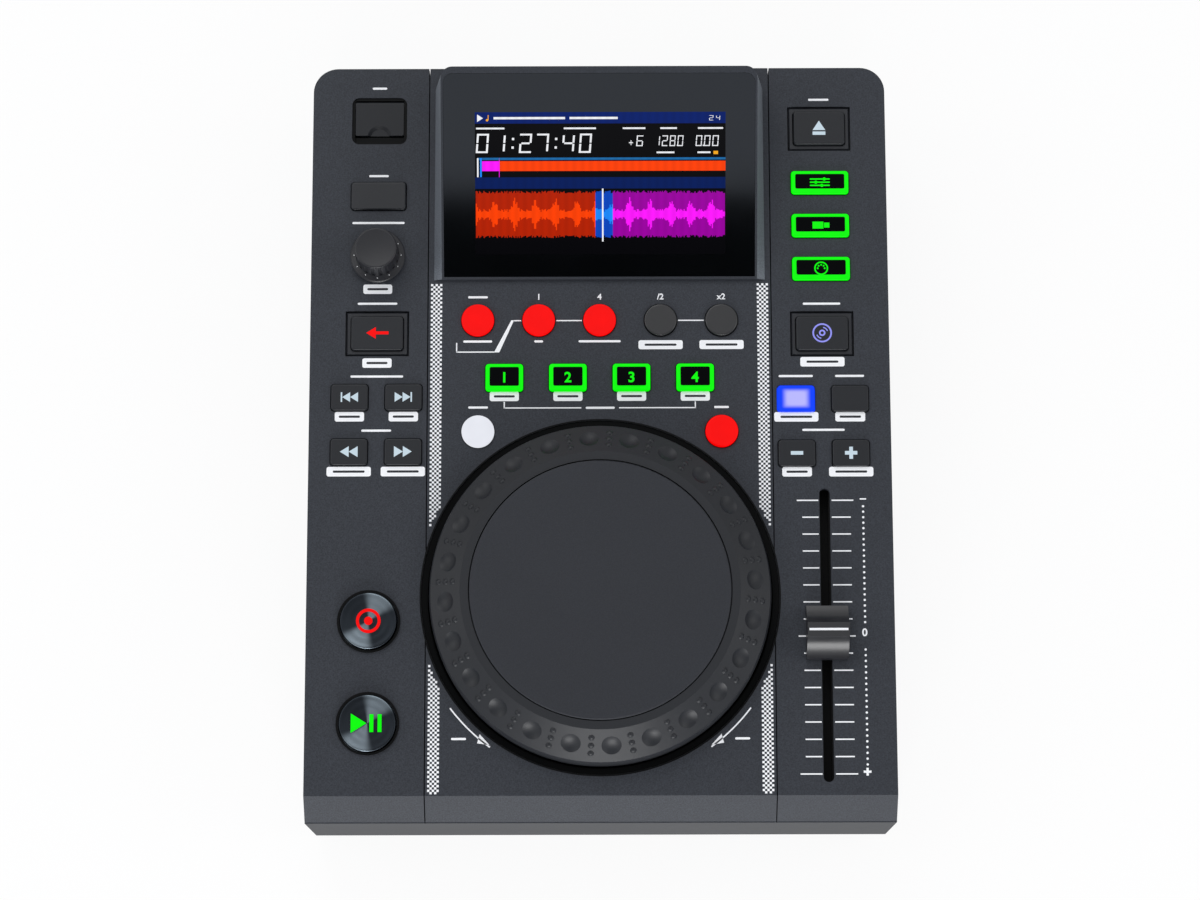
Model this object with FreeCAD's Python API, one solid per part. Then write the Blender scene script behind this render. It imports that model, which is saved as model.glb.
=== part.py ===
import FreeCAD, Part
import math
import os
from collections import namedtuple

Vector = FreeCAD.Vector

# A tabletop media player: a hollow case in four mouldings, a tilted screen pod, a jog wheel, a pitch
# fader, a browse encoder and 28 keys. Millimetres, X to the right, Y to the rear, Z up. The origin is
# on the table below the middle of the case.

# Heights of the case
foot_height = 5.0
tray_height = 51.6
parting_gap = 0.4
cover_height = 8.0
deck_thickness = 2.5
cover_wall = 2.5
tray_wall = 2.5
tray_floor = 2.5

# Outline of the case
rear_corner_radius = 9.5
front_bevel_run = 9.4
front_lip = 0.4
seam_gap = 0.4
lip_thickness = 1.2
lip_height = 2.0
lip_clearance = 0.2

# Keys: the plain pair keys, the wide ones, and what all keys share
pair_key_width = 14.0
pair_key_depth = 10.2
pair_column_offset = 10.2
pad_width = 14.3
pad_depth = 10.7
pad_pitch = 24.1
back_width = 21.0
back_depth = 11.0
menu_width = 22.0
menu_depth = 9.2
framed_key_width = 19.8
framed_key_depth = 13.2
round_key_radius = 6.2
loop_pitch = 23.15
transport_radius = 10.65
key_corner = 1.3
key_proud = 1.2
round_key_proud = 1.4
framed_key_proud = 1.3
transport_proud = 2.6
key_edge = 0.6
key_clearance = 0.3
key_travel = 1.0
transport_travel = 1.5
transport_dish = 0.5
flange_width = 1.0
flange_thickness = 1.2
rattle_gap = 0.1
stem_radius = 2.0

# Bezel frames round three of the keys, and the collars round the two transport buttons
frame_rim = 1.5
frame_groove = 0.4
frame_sink = 0.3
frame_flange_width = 1.2
frame_flange_thickness = 1.0
frame_bevel = 0.5
collar_width = 0.9
collar_height = 0.7
collar_edge = 0.3

# Switches and circuit boards
switch_size = 6.0
switch_body_height = 3.5
switch_plunger_radius = 1.75
switch_plunger_height = 0.8
board_thickness = 1.6
board_drop = 8.5
board_clearance = 3.0
board_boss_radius = 2.5
board_edge_gap = 1.0
board_hole_gap = 0.5
boss_inset = 7.0
boss_shift = 1.0
middle_boss_shift = 0.4

# Gaps along the cheeks, from the rear edge forward, each between two neighbouring pieces
pocket_rear_gap = 11.6
back_gap = 15.3
browse_gap = 8.1
rev_gap = 11.2
track_gap = 11.4
search_gap = 10.85
eject_rear_gap = 16.0
menu_gap = 8.7
menu_pitch_gap = 7.8
vinyl_gap = 12.3
tempo_gap = 11.9
bend_gap = 10.85
legend_room = 8.2
play_front_gap = 24.35
transport_gap = 14.6
transport_offset = 2.0
slot_front_gap = 14.2

# Gaps across the case, from the centre seam outward
cheek_inner_margin = 2.0
cheek_outer_margin = 8.3
pod_side_gap = 2.3

# Gaps along the centre, from the front edge backward
front_apron = 17.05
pad_gap = 11.1
loop_row_gap = 10.8
pod_front_gap = 9.65
pod_rear_gap = 3.4
corner_key_gap = 4.55
corner_key_angle = 53.7

# USB pocket, its flap and its socket
pocket_width = 21.1
pocket_depth = 18.6
pocket_corner = 2.8
pocket_wall = 1.0
pocket_fit = 0.1
pocket_rim_sink = 0.5
pocket_height = 10.0
pocket_floor = 1.5
pocket_flange = 1.8
flap_side_gap = 0.2
flap_thickness = 1.5
flap_sink = 0.8
flap_barrel_radius = 1.1
flap_pin_radius = 0.8
flap_pin_fit = 0.05
flap_pin_length = 0.6
pocket_inner_corner = 0.4
flap_rear_gap = 0.1
flap_front_gap = 3.7
sill_depth = 2.2
sill_drop = 1.4
scoop_radius = 4.6
scoop_depth = 1.0
usb_a_width = 14.4
usb_a_depth = 7.2
usb_a_height = 14.0
usb_a_mouth_width = 12.4
usb_a_mouth_depth = 5.1
usb_a_wall_floor = 2.0
usb_a_tongue = 1.9
usb_a_board_margin = 4.0

# Browse encoder
browse_skirt_radius = 10.4
browse_skirt_height = 1.8
browse_skirt_edge = 0.3
browse_cap_edge = 0.7
browse_cap_radius = 8.0
browse_height = 13.2
browse_gap_below = 0.9
browse_dish = 0.5
browse_flutes = 18
browse_flute_radius = 0.7
browse_push = 0.5
encoder_size = 12.0
encoder_body_height = 6.5
bushing_radius = 3.5
bushing_rise = 2.8
bushing_hole_gap = 0.4
shaft_radius = 3.0
shaft_rise = 10.6
shaft_fit = 0.05
knob_hollow_radius = 7.0
knob_hollow_height = 4.6

# Pitch fader
fader_travel = 100.0
slot_width = 4.0
slot_end_clearance = 1.3
lever_width = 2.4
lever_depth = 8.0
lever_rise = 8.4
lever_fit = 0.05
carriage_width = 8.2
carriage_depth = 12.0
carriage_height = 3.0
fader_width = 13.0
fader_height = 7.4
fader_end_margin = 4.0
fader_wall = 1.4
fader_gap = 0.4
cap_width = 15.6
cap_depth = 19.8
cap_height = 12.0
cap_gap_below = 0.5
cap_shoulder = 4.4
cap_ridge = 5.2
cap_flank_dip = 1.5
cap_line_width = 0.9
cap_line_depth = 0.25

# Jog wheel and its well
well_radius = 67.05
well_ring_width = 2.45
well_ring_drop = 0.6
well_ring_slope = 0.6
well_fit = 0.15
well_depth = 11.0
well_floor = 2.0
well_wall = 2.0
well_flange = 2.8
well_flange_thickness = 1.8
jog_gap = 0.8
jog_skirt_drop = 5.0
jog_edge_height = 5.5
jog_band_height = 8.0
jog_top_height = 16.0
jog_band_width = 11.2
jog_edge_step = 0.6
jog_wall = 3.0
jog_ring_width = 3.1
jog_hub_radius = 9.0
jog_hub_height = 2.0
plate_gap = 0.4
plate_proud = 0.5
plate_thickness = 3.2
plate_edge = 0.5
dimple_count = 24
dimple_radius = 3.8
dimple_depth = 1.2
bump_radius = 1.2
bump_height = 0.65
bump_rows = 3
bump_pitch = 3.3
first_dimple_angle = 4.0
sensor_ring_radius = 34.0
sensor_ring_wall = 1.4
sensor_ring_height = 5.0
sensor_slots = 24
sensor_slot_width = 3.0
spindle_radius = 4.0
spindle_fit = 0.05
bearing_radius = 7.0
bearing_flange_radius = 11.0
bearing_flange_height = 1.5
bearing_tail = 3.0
washer_radius = 6.0
washer_thickness = 1.2

# Screen pod
pod_width = 126.0
pod_draft = 3.0
pod_front_height = 1.5
pod_face_length = 80.6
pod_tilt = 17.6
pod_back_run = 4.0
pod_corner = 4.4
pod_wall = 2.5
pod_face_thickness = 3.8
lens_thickness = 1.8
lens_side_rim = 0.8
lens_front_rim = 0.9
lens_rear_rim = 2.6
lens_fit = 0.1
module_width = 105.4
module_length = 67.2
module_thickness = 3.0
module_centre = 36.4
module_fit = 0.2
deck_window_margin = 1.2

# Screws, posts and feet
post_radius = 4.0
cover_boss_radius = 3.5
screw_radius = 1.5
screw_head_radius = 2.8
screw_head_height = 2.0
screw_reach = 5.0
screw_fit = 0.05
screw_head_fit = 0.4
screw_head_edge = 0.5
post_web = 6.0
post_inset = 7.5
pod_post_inset = 2.4
pod_post_setback = 28.0
foot_radius = 8.0
foot_top_radius = 7.2
foot_seat = 1.0
foot_edge = 0.4
foot_inset = 22.0

# Rear bay with the sockets and the power switch
bay_side_room = 3.0
bay_depth = 9.0
bay_wall = 2.5
bay_floor_rise = 8.0
bay_height = 30.0
main_board_rise = 11.0
main_board_width = 150.0
main_board_depth = 80.0
standoff_radius = 3.0
socket_fit = 0.15
socket_proud = 0.6
jack_radius = 4.15
jack_hole_radius = 1.7
jack_length = 8.6
jack_collar_radius = 5.4
jack_collar_thickness = 1.2
jack_body_width = 11.0
jack_body_depth = 12.0
jack_body_height = 17.0
jack_height = 11.5
usb_b_width = 12.1
usb_b_height = 11.0
usb_b_depth = 17.0
usb_b_mouth_width = 8.5
usb_b_mouth_height = 7.8
usb_b_mouth_depth = 9.0
usb_b_tongue_width = 5.6
usb_b_tongue_height = 3.2
usb_b_chamfer = 1.6
dc_width = 9.0
dc_height = 11.0
dc_depth = 14.0
dc_mouth_radius = 2.9
dc_pin_radius = 1.0
dc_mouth_depth = 9.5
switch_width = 19.4
switch_height = 13.0
switch_depth = 16.0
switch_bezel = 1.0
switch_bezel_thickness = 1.5
rocker_half_width = 7.2
rocker_height = 10.6
rocker_face = 6.6
rocker_valley = 5.6
rocker_tail = 2.5
rocker_tilt = 8.0
rocker_gap = 0.2
rocker_side_gap = 1.1
rocker_pin_radius = 1.2
rocker_pin_fit = 0.05
rocker_pivot_depth = 4.8
jack_pitch = 18.0
jack_margin = 17.0
usb_b_x = 8.0
dc_x = 34.0
power_x = 62.0

# Vents in the floor
vent_rows = 7
vent_pitch = 8.0
vent_length = 34.0
vent_width = 2.6
vent_column = 24.0
vent_setback = 30.0

# Heights worked out from the sizes above
tray_top = foot_height + tray_height
cover_z = tray_top + parting_gap
deck_z = cover_z + cover_height
deck_under = deck_z - deck_thickness
floor_z = foot_height + tray_floor
board_top = deck_under - board_drop
board_under = board_top - board_thickness
switch_top = board_top + switch_body_height + switch_plunger_height
well_floor_top = deck_z - well_depth
well_floor_under = well_floor_top - well_floor
main_board_top = floor_z + main_board_rise
bay_z = foot_height + bay_floor_rise

# The rear bay follows the main board
bay_width = main_board_width + 2 * bay_side_room
jack_x = jack_margin - main_board_width / 2

# Widths: the pod sets the centre, and the pair keys set the cheeks
seam_x = pod_width / 2 + pod_side_gap
cheek_x = seam_x + cheek_inner_margin + pair_key_width / 2 + pair_column_offset
half_width = cheek_x + pair_column_offset + pair_key_width / 2 + cheek_outer_margin

# The pod's face, seen from the side
tilt = math.radians(pod_tilt)
pod_run = pod_face_length * math.cos(tilt)

# Sizes of the framed keys' bezels and of the slot
frame_width = framed_key_width + 2 * key_clearance + 2 * frame_rim
frame_depth = framed_key_depth + 2 * key_clearance + 2 * frame_rim
collar_radius = transport_radius + key_clearance + collar_width
slot_length = fader_travel + lever_depth + 2 * slot_end_clearance


def row_setbacks(rows):
    """Distances of the rows' middles from the edge that they start at, and where the last row ends."""
    setbacks = []
    edge = 0.0
    for gap, depth in rows:
        setbacks.append(edge + gap + depth / 2)
        edge += gap + depth
    return setbacks, edge


left_rows, left_end = row_setbacks([
    (pocket_rear_gap, pocket_depth),
    (back_gap, back_depth),
    (browse_gap, 2 * browse_skirt_radius),
    (rev_gap, frame_depth),
    (track_gap, pair_key_depth),
    (search_gap, pair_key_depth),
])
right_rows, right_end = row_setbacks([
    (eject_rear_gap, frame_depth),
    (menu_gap, menu_depth),
    (menu_pitch_gap, menu_depth),
    (menu_pitch_gap, menu_depth),
    (vinyl_gap, frame_depth),
    (tempo_gap, pair_key_depth),
    (bend_gap, pair_key_depth),
])
centre_rows, centre_end = row_setbacks([
    (front_apron, 2 * well_radius),
    (pad_gap, pad_depth),
    (loop_row_gap, 2 * round_key_radius),
    (pod_front_gap, pod_run + pod_back_run),
])
transport_rows, transport_end = row_setbacks([
    (play_front_gap, 2 * collar_radius),
    (transport_gap, 2 * collar_radius),
])

# The case is as deep as its longest line of controls
body_depth = max(
    centre_end + pod_rear_gap,
    right_end + legend_room + slot_length + slot_front_gap,
    left_end + legend_room + transport_end,
)
front_y = -body_depth / 2
rear_y = body_depth / 2

pocket_y, back_y, browse_y, rev_y, track_y, search_y = [rear_y - s for s in left_rows]
eject_y, settings_y, usb_key_y, midi_y, vinyl_y, tempo_y, bend_y = [rear_y - s for s in right_rows]
jog_y, pad_y, loop_y = [front_y + s for s in centre_rows[:3]]
play_y, cue_y = [front_y + s for s in transport_rows]
fader_y = front_y + slot_front_gap + slot_length / 2
pod_rear_y = rear_y - pod_rear_gap
pod_front_y = pod_rear_y - pod_back_run - pod_run
transport_x = -cheek_x - transport_offset
corner_reach = well_radius + corner_key_gap + round_key_radius
corner_x = corner_reach * math.cos(math.radians(corner_key_angle))
corner_y = jog_y + corner_reach * math.sin(math.radians(corner_key_angle))

# Jog wheel radii
well_ring_inner = well_radius - well_ring_width
jog_radius = well_ring_inner - jog_gap
jog_band_outer = jog_radius - jog_edge_step
jog_band_inner = jog_band_outer - jog_band_width
plate_seat_radius = jog_band_inner - jog_ring_width
plate_radius = plate_seat_radius - plate_gap
plate_seat_height = jog_top_height + plate_proud - plate_thickness

# Keys by name: rectangular ones, then round ones. A framed key sits in its own bezel
RectKey = namedtuple("RectKey", "x y width depth proud framed")
RoundKey = namedtuple("RoundKey", "x y radius proud travel")

rect_keys = {
    "back_key": RectKey(-cheek_x, back_y, back_width, back_depth, key_proud, False),
    "reverse_key": RectKey(-cheek_x, rev_y, framed_key_width, framed_key_depth, framed_key_proud, True),
    "eject_key": RectKey(cheek_x, eject_y, framed_key_width, framed_key_depth, framed_key_proud, True),
    "vinyl_key": RectKey(cheek_x, vinyl_y, framed_key_width, framed_key_depth, framed_key_proud, True),
}
for name, y in (("settings_key", settings_y), ("source_key", usb_key_y), ("midi_key", midi_y)):
    rect_keys[name] = RectKey(cheek_x, y, menu_width, menu_depth, key_proud, False)
for side, row_y, names in (
    (-1, track_y, ("track_back_key", "track_next_key")),
    (-1, search_y, ("search_back_key", "search_next_key")),
    (1, tempo_y, ("key_lock_key", "tap_key")),
    (1, bend_y, ("bend_minus_key", "bend_plus_key")),
):
    for name, step in zip(names, (-1, 1)):
        x = side * cheek_x + step * pair_column_offset
        rect_keys[name] = RectKey(x, row_y, pair_key_width, pair_key_depth, key_proud, False)
for index in range(4):
    x = (index - 1.5) * pad_pitch
    rect_keys["pad_key_%d" % (index + 1)] = RectKey(x, pad_y, pad_width, pad_depth, key_proud, False)

round_keys = {
    "cue_button": RoundKey(transport_x, cue_y, transport_radius, transport_proud, transport_travel),
    "play_button": RoundKey(transport_x, play_y, transport_radius, transport_proud, transport_travel),
    "shift_button": RoundKey(-corner_x, corner_y, round_key_radius, round_key_proud, key_travel),
    "slip_button": RoundKey(corner_x, corner_y, round_key_radius, round_key_proud, key_travel),
}
for index, name in enumerate(("auto_loop", "loop_in", "loop_out", "reloop", "loop_double")):
    x = (index - 2) * loop_pitch
    round_keys[name + "_button"] = RoundKey(x, loop_y, round_key_radius, round_key_proud, key_travel)

# Places of the screw posts: on each cheek, and on the centre
cheek_post_xs = (half_width - post_inset, seam_x + post_radius)
cheek_posts = [
    (half_width - rear_corner_radius, rear_y - post_inset - cover_wall),
    (cheek_post_xs[1], (settings_y + usb_key_y) / 2),
    (cheek_post_xs[0], front_y + front_bevel_run + post_inset),
    (cheek_post_xs[1], front_y + front_bevel_run + post_inset),
]
centre_posts = [
    (seam_x - post_inset, front_y + front_bevel_run + post_inset),
    (seam_x - post_inset, loop_y + post_inset),
    (seam_x - post_radius - pod_post_inset, pod_rear_y - pod_post_setback),
]
screw_places = [(side * x, y) for side in (-1, 1) for x, y in cheek_posts + centre_posts]

# Places of the bosses that carry the key boards
outer_boss_x = half_width - boss_inset
inner_boss_x = seam_x + post_radius
left_bosses = [
    (-outer_boss_x, browse_y),
    (-outer_boss_x, (rev_y + track_y) / 2),
    (-outer_boss_x, (cue_y + play_y) / 2),
    (-inner_boss_x, (browse_y + rev_y) / 2 - boss_shift),
]
right_bosses = [
    (outer_boss_x, usb_key_y),
    (outer_boss_x, (vinyl_y + tempo_y) / 2),
    (outer_boss_x, fader_y),
    (inner_boss_x, (midi_y + vinyl_y) / 2 + boss_shift),
]
centre_bosses = [
    (0.0, (pad_y + loop_y) / 2 - middle_boss_shift),
    (seam_x - 2 * board_boss_radius, (pad_y + loop_y) / 2),
    (-seam_x + 2 * board_boss_radius, (pad_y + loop_y) / 2),
]


def corner_wire(points, radii):
    """Closed wire through square corners, each with its own radius; the points may lie in any plane."""
    count = len(points)
    ends = []
    arcs = []
    for index in range(count):
        point = points[index]
        radius = radii[index]
        back = (points[index - 1] - point).normalize() * radius
        ahead = (points[(index + 1) % count] - point).normalize() * radius
        ends.append((point + back, point + ahead))
        middle = point + (back + ahead) * (1 - math.sqrt(0.5))
        arcs.append(Part.Arc(point + back, middle, point + ahead).toShape() if radius > 0 else None)
    edges = []
    for index in range(count):
        if arcs[index]:
            edges.append(arcs[index])
        edges.append(Part.makeLine(ends[index][1], ends[(index + 1) % count][0]))
    return Part.Wire(edges)


def plan_block(x0, x1, y0, y1, z0, z1, radii=(0, 0, 0, 0)):
    """Upright block; the radii go front left, front right, rear right, rear left."""
    corners = [Vector(x0, y0, z0), Vector(x1, y0, z0), Vector(x1, y1, z0), Vector(x0, y1, z0)]
    return Part.Face(corner_wire(corners, radii)).extrude(Vector(0, 0, z1 - z0))


def centred_block(x, y, width, depth, z0, z1, corner=0.0):
    """Upright block about a middle point, with one radius at all four corners."""
    half_w = width / 2
    half_d = depth / 2
    return plan_block(x - half_w, x + half_w, y - half_d, y + half_d, z0, z1, (corner,) * 4)


def rod(x, y, z0, z1, radius):
    """Upright round bar."""
    return Part.makeCylinder(radius, z1 - z0, Vector(x, y, z0))


def rear_rod(x, z, y0, y1, radius):
    """Round bar that points to the rear."""
    return Part.makeCylinder(radius, y1 - y0, Vector(x, y0, z), Vector(0, 1, 0))


def cross_rod(y, z, x0, x1, radius):
    """Round bar from left to right."""
    return Part.makeCylinder(radius, x1 - x0, Vector(x0, y, z), Vector(1, 0, 0))


def outline(steps, place):
    """Face inside a closed outline; a step that holds two points is an arc by way of the first."""
    edges = []
    here = steps[0]
    for step in steps[1:] + [steps[0]]:
        if isinstance(step[0], tuple):
            middle, end = step
            edges.append(Part.Arc(place(here), place(middle), place(end)).toShape())
            here = end
        elif step != here:
            edges.append(Part.makeLine(place(here), place(step)))
            here = step
    return Part.Face(Part.Wire(edges))


def turned(steps, x=0.0, y=0.0):
    """Solid of revolution about an upright axis, from steps of (radius, height)."""
    face = outline(steps, lambda p: Vector(x + p[0], y, p[1]))
    return face.revolve(Vector(x, y, 0), Vector(0, 0, 1), 360)


def side_prism(steps, x0, x1):
    """Prism from left to right, from steps of (y, z)."""
    face = outline(steps, lambda p: Vector(x0, p[0], p[1]))
    return face.extrude(Vector(x1 - x0, 0, 0))


def plan_prism(steps, z0, z1):
    """Upright prism, from steps of (x, y)."""
    face = outline(steps, lambda p: Vector(p[0], p[1], z0))
    return face.extrude(Vector(0, 0, z1 - z0))


def dish_arc(radius, depth, top):
    """Outline step from a rim down to the middle of a shallow round dish about the axis."""
    ball = (radius * radius + depth * depth) / (2 * depth)
    half = math.asin(radius / ball) / 2
    return (ball * math.sin(half), top - depth + ball * (1 - math.cos(half))), (0, top - depth)


def edges_at(shape, z):
    """Edges that lie wholly at one height."""
    return [e for e in shape.Edges if all(abs(v.Point.z - z) < 1e-6 for v in e.Vertexes)
            and abs(e.CenterOfMass.z - z) < 1e-6]


def on_pod_face(shape):
    """Carries a shape from the flat onto the pod's tilted face, whose front edge is the flat's X axis."""
    shape.rotate(Vector(0, 0, 0), Vector(1, 0, 0), pod_tilt)
    shape.translate(Vector(0, pod_front_y, deck_z + pod_front_height))
    return shape


def bevel_height(y, offset=0.0):
    """Height of the front bevel's surface over a place, or of a surface that far below and parallel."""
    slope = (cover_height - front_lip) / (front_bevel_run - front_lip)
    return deck_z - (front_y + front_bevel_run - y) * slope - offset * math.sqrt(1 + slope * slope)


def cover_blank(x0, x1, radii, inner_x0, inner_x1, inner_radii):
    """A cover moulding with its front bevel and its hollow, before any opening is cut."""
    outer = plan_block(x0, x1, front_y, rear_y, cover_z, deck_z, radii)
    bevel = side_prism([
        (front_y - 1, deck_z + 1),
        (front_y + front_bevel_run, deck_z + 1),
        (front_y + front_bevel_run, deck_z),
        (front_y + front_lip, bevel_height(front_y + front_lip)),
        (front_y - 1, bevel_height(front_y + front_lip)),
    ], x0 - 1, x1 + 1)
    plan = plan_block(inner_x0, inner_x1, front_y + cover_wall, rear_y - cover_wall, cover_z - 1,
                      deck_under, inner_radii)
    slope = (cover_height - front_lip) / (front_bevel_run - front_lip)
    low_y = front_y + (cover_z - 1 - bevel_height(front_y, cover_wall)) / slope
    high_y = front_y + (deck_under - bevel_height(front_y, cover_wall)) / slope
    side = side_prism([
        (low_y, cover_z - 1),
        (rear_y, cover_z - 1),
        (rear_y, deck_under),
        (high_y, deck_under),
    ], inner_x0 - 1, inner_x1 + 1)
    return outer.cut([bevel, plan.common(side)])


def key_seat(key):
    """Height of the underside that the key's flange rises against."""
    if getattr(key, "framed", False):
        return deck_under - frame_flange_thickness
    return deck_under


def rect_key(key):
    """Key cap with its flange and stem; the cap's upper edges are rounded."""
    seat = key_seat(key) - rattle_gap
    top = deck_z + key.proud
    cap = centred_block(key.x, key.y, key.width, key.depth, seat - flange_thickness, top, key_corner)
    cap = cap.makeFillet(key_edge, edges_at(cap, top))
    flange = centred_block(key.x, key.y, key.width + 2 * flange_width, key.depth + 2 * flange_width,
                           seat - flange_thickness, seat, key_corner)
    stem_foot = switch_top + key_travel + rattle_gap
    stem = rod(key.x, key.y, stem_foot, seat - flange_thickness, stem_radius)
    return cap.fuse([flange, stem]).removeSplitter()


def round_key(key, dish=0.0):
    """Round cap with its flange and stem; a dish hollows its top."""
    seat = key_seat(key) - rattle_gap
    top = deck_z + key.proud
    stem_foot = switch_top + key.travel + rattle_gap
    rim = key.radius - key_edge
    soft = key_edge * (1 - math.sqrt(0.5))
    steps = [
        (0, stem_foot),
        (stem_radius, stem_foot),
        (stem_radius, seat - flange_thickness),
        (key.radius + flange_width, seat - flange_thickness),
        (key.radius + flange_width, seat),
        (key.radius, seat),
        (key.radius, top - key_edge),
        ((key.radius - soft, top - soft), (rim, top)),
    ]
    if dish > 0:
        steps.append(dish_arc(rim, dish, top))
    else:
        steps.append((0, top))
    return turned(steps, key.x, key.y)


def key_opening(key):
    """Cut through a cover for one key, or for its bezel where it has one."""
    if isinstance(key, RoundKey):
        return rod(key.x, key.y, cover_z, deck_z + 2, key.radius + key_clearance)
    if key.framed:
        return centred_block(key.x, key.y, frame_width + 2 * frame_groove, frame_depth + 2 * frame_groove,
                             cover_z, deck_z + 1)
    return centred_block(key.x, key.y, key.width + 2 * key_clearance, key.depth + 2 * key_clearance,
                         cover_z, deck_z + 1, key_corner + key_clearance)


def key_bezel(key):
    """Frame round a key: a rim with a bevelled inner edge, on a flange under the cover."""
    top = deck_z - frame_sink
    rim = centred_block(key.x, key.y, frame_width, frame_depth, deck_under - frame_flange_thickness, top)
    flange = centred_block(key.x, key.y, frame_width + 2 * frame_groove + 2 * frame_flange_width,
                           frame_depth + 2 * frame_groove + 2 * frame_flange_width,
                           deck_under - frame_flange_thickness, deck_under)
    hole = centred_block(key.x, key.y, key.width + 2 * key_clearance, key.depth + 2 * key_clearance,
                         cover_z, deck_z + 1, key_corner + key_clearance)
    body = rim.fuse(flange).removeSplitter()
    body = body.makeChamfer(frame_bevel, edges_at(body, top))
    return body.cut(hole)


def collar(key):
    """Raised ring of the cover round a transport button."""
    inner = key.radius + key_clearance
    return turned([
        (inner, deck_under),
        (collar_radius, deck_under),
        (collar_radius, deck_z + collar_height - collar_edge),
        (collar_radius - collar_edge, deck_z + collar_height),
        (inner, deck_z + collar_height),
    ], key.x, key.y)


def cover_bosses(posts, board_places):
    """Bosses under a cover: tall ones that meet the tray's posts, and short ones for the key board."""
    bosses = []
    for x, y in posts:
        boss = rod(x, y, cover_z, deck_under, cover_boss_radius)
        bosses.append(boss.cut(rod(x, y, cover_z, cover_z + screw_reach, screw_radius + screw_fit)))
    for x, y in board_places:
        bosses.append(rod(x, y, board_top, deck_under, board_boss_radius))
    return bosses


def well_opening():
    """Cut for the jog well, which crosses both seams."""
    return rod(0, jog_y, board_under, deck_z + 1, well_radius)


def cheek(side, keys, extra_cuts, extra_solids, board_places):
    """Left (side -1) or right (side 1) cover, with the openings for what it carries."""
    outer = side * half_width
    seam = side * (seam_x + seam_gap / 2)
    inner = side * (half_width - cover_wall)
    rear = rear_corner_radius
    posts = [(side * x, y) for x, y in cheek_posts]
    if side < 0:
        blank = cover_blank(outer, seam, (0, 0, 0, rear), inner, seam + 1, (0, 0, 0, rear - cover_wall))
    else:
        blank = cover_blank(seam, outer, (0, 0, rear, 0), seam - 1, inner, (0, 0, rear - cover_wall, 0))
    body = blank.fuse(cover_bosses(posts, board_places) + extra_solids)
    return body.cut([key_opening(key) for key in keys] + [well_opening()] + extra_cuts).removeSplitter()


def left_cheek():
    """Left cover: pocket, back key, encoder, direction, track and search keys, and the transport pair."""
    names = ("back_key", "reverse_key", "track_back_key", "track_next_key", "search_back_key",
             "search_next_key")
    transports = [round_keys["cue_button"], round_keys["play_button"]]
    keys = [rect_keys[name] for name in names] + transports
    pocket = centred_block(-cheek_x, pocket_y, pocket_width, pocket_depth, cover_z, deck_z + 1, pocket_corner)
    bushing_hole = rod(-cheek_x, browse_y, cover_z, deck_z + 1, bushing_radius + bushing_hole_gap)
    return cheek(-1, keys, [pocket, bushing_hole], [collar(key) for key in transports], left_bosses)


def right_cheek():
    """Right cover: eject, menu, vinyl, tempo and bend keys, and the fader's slot."""
    names = ("eject_key", "settings_key", "source_key", "midi_key", "vinyl_key", "key_lock_key", "tap_key",
             "bend_minus_key", "bend_plus_key")
    slot = centred_block(cheek_x, fader_y, slot_width, slot_length, cover_z, deck_z + 1,
                         slot_width / 2 - 0.01)
    return cheek(1, [rect_keys[name] for name in names], [slot], [], right_bosses)


def centre_deck():
    """Centre cover: pads, loop buttons, the two corner buttons, and the window below the screen."""
    edge = seam_x - seam_gap / 2
    blank = cover_blank(-edge, edge, (0, 0, 0, 0), -edge - 1, edge + 1, (0, 0, 0, 0))
    posts = [(side * x, y) for side in (-1, 1) for x, y in centre_posts]
    body = blank.fuse(cover_bosses(posts, centre_bosses))
    names = ("shift_button", "slip_button", "auto_loop_button", "loop_in_button", "loop_out_button",
             "reloop_button", "loop_double_button")
    keys = [rect_keys["pad_key_%d" % (index + 1)] for index in range(4)]
    keys += [round_keys[name] for name in names]
    half_window = module_width / 2 + deck_window_margin
    window = plan_block(-half_window, half_window, pod_front_y + deck_window_margin + 1.0,
                        pod_rear_y - pod_back_run - 8.0, cover_z, deck_z + 1)
    return body.cut([key_opening(key) for key in keys] + [well_opening(), window]).removeSplitter()


def key_bezels():
    """The three bezel frames."""
    return Part.makeCompound([key_bezel(key) for key in rect_keys.values() if key.framed])


def tray_shell():
    """The tray's walls, floor and locating lip, with the rear bay's box in its rear wall."""
    rear = rear_corner_radius
    outer = plan_block(-half_width, half_width, front_y, rear_y, foot_height, tray_top, (0, 0, rear, rear))
    inset = tray_wall
    inner = plan_block(-half_width + inset, half_width - inset, front_y + inset, rear_y - inset, floor_z,
                       tray_top + 1, (0, 0, rear - inset, rear - inset))
    lip_in = cover_wall + lip_clearance
    lip_front = front_y + front_bevel_run + post_inset
    lip = plan_block(-half_width + lip_in, half_width - lip_in, lip_front, rear_y - lip_in,
                     tray_top - lip_height, cover_z + lip_height, (0, 0, rear - lip_in, rear - lip_in))
    hollow_in = lip_in + lip_thickness
    lip_hollow = plan_block(-half_width + hollow_in, half_width - hollow_in, lip_front - 1,
                            rear_y - hollow_in, tray_top - lip_height - 1, cover_z + lip_height + 1,
                            (0, 0, rear - hollow_in, rear - hollow_in))
    bay_half = bay_width / 2 + bay_wall
    bay_box = plan_block(-bay_half, bay_half, rear_y - bay_depth - bay_wall, rear_y - inset / 2,
                         bay_z - bay_wall, bay_z + bay_height + bay_wall)
    bay_hollow = plan_block(-bay_width / 2, bay_width / 2, rear_y - bay_depth, rear_y + 1, bay_z,
                            bay_z + bay_height)
    return outer.cut(inner).fuse([lip.cut(lip_hollow), bay_box]).cut(bay_hollow)


def tray_posts():
    """Screw posts of the tray and the standoffs of the main board."""
    posts = [rod(x, y, floor_z - 1, cover_z, post_radius) for x, y in screw_places]
    posts += [rod(x, y, floor_z - 1, main_board_top - board_thickness, standoff_radius)
              for x, y in standoff_places()]
    return posts


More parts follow.
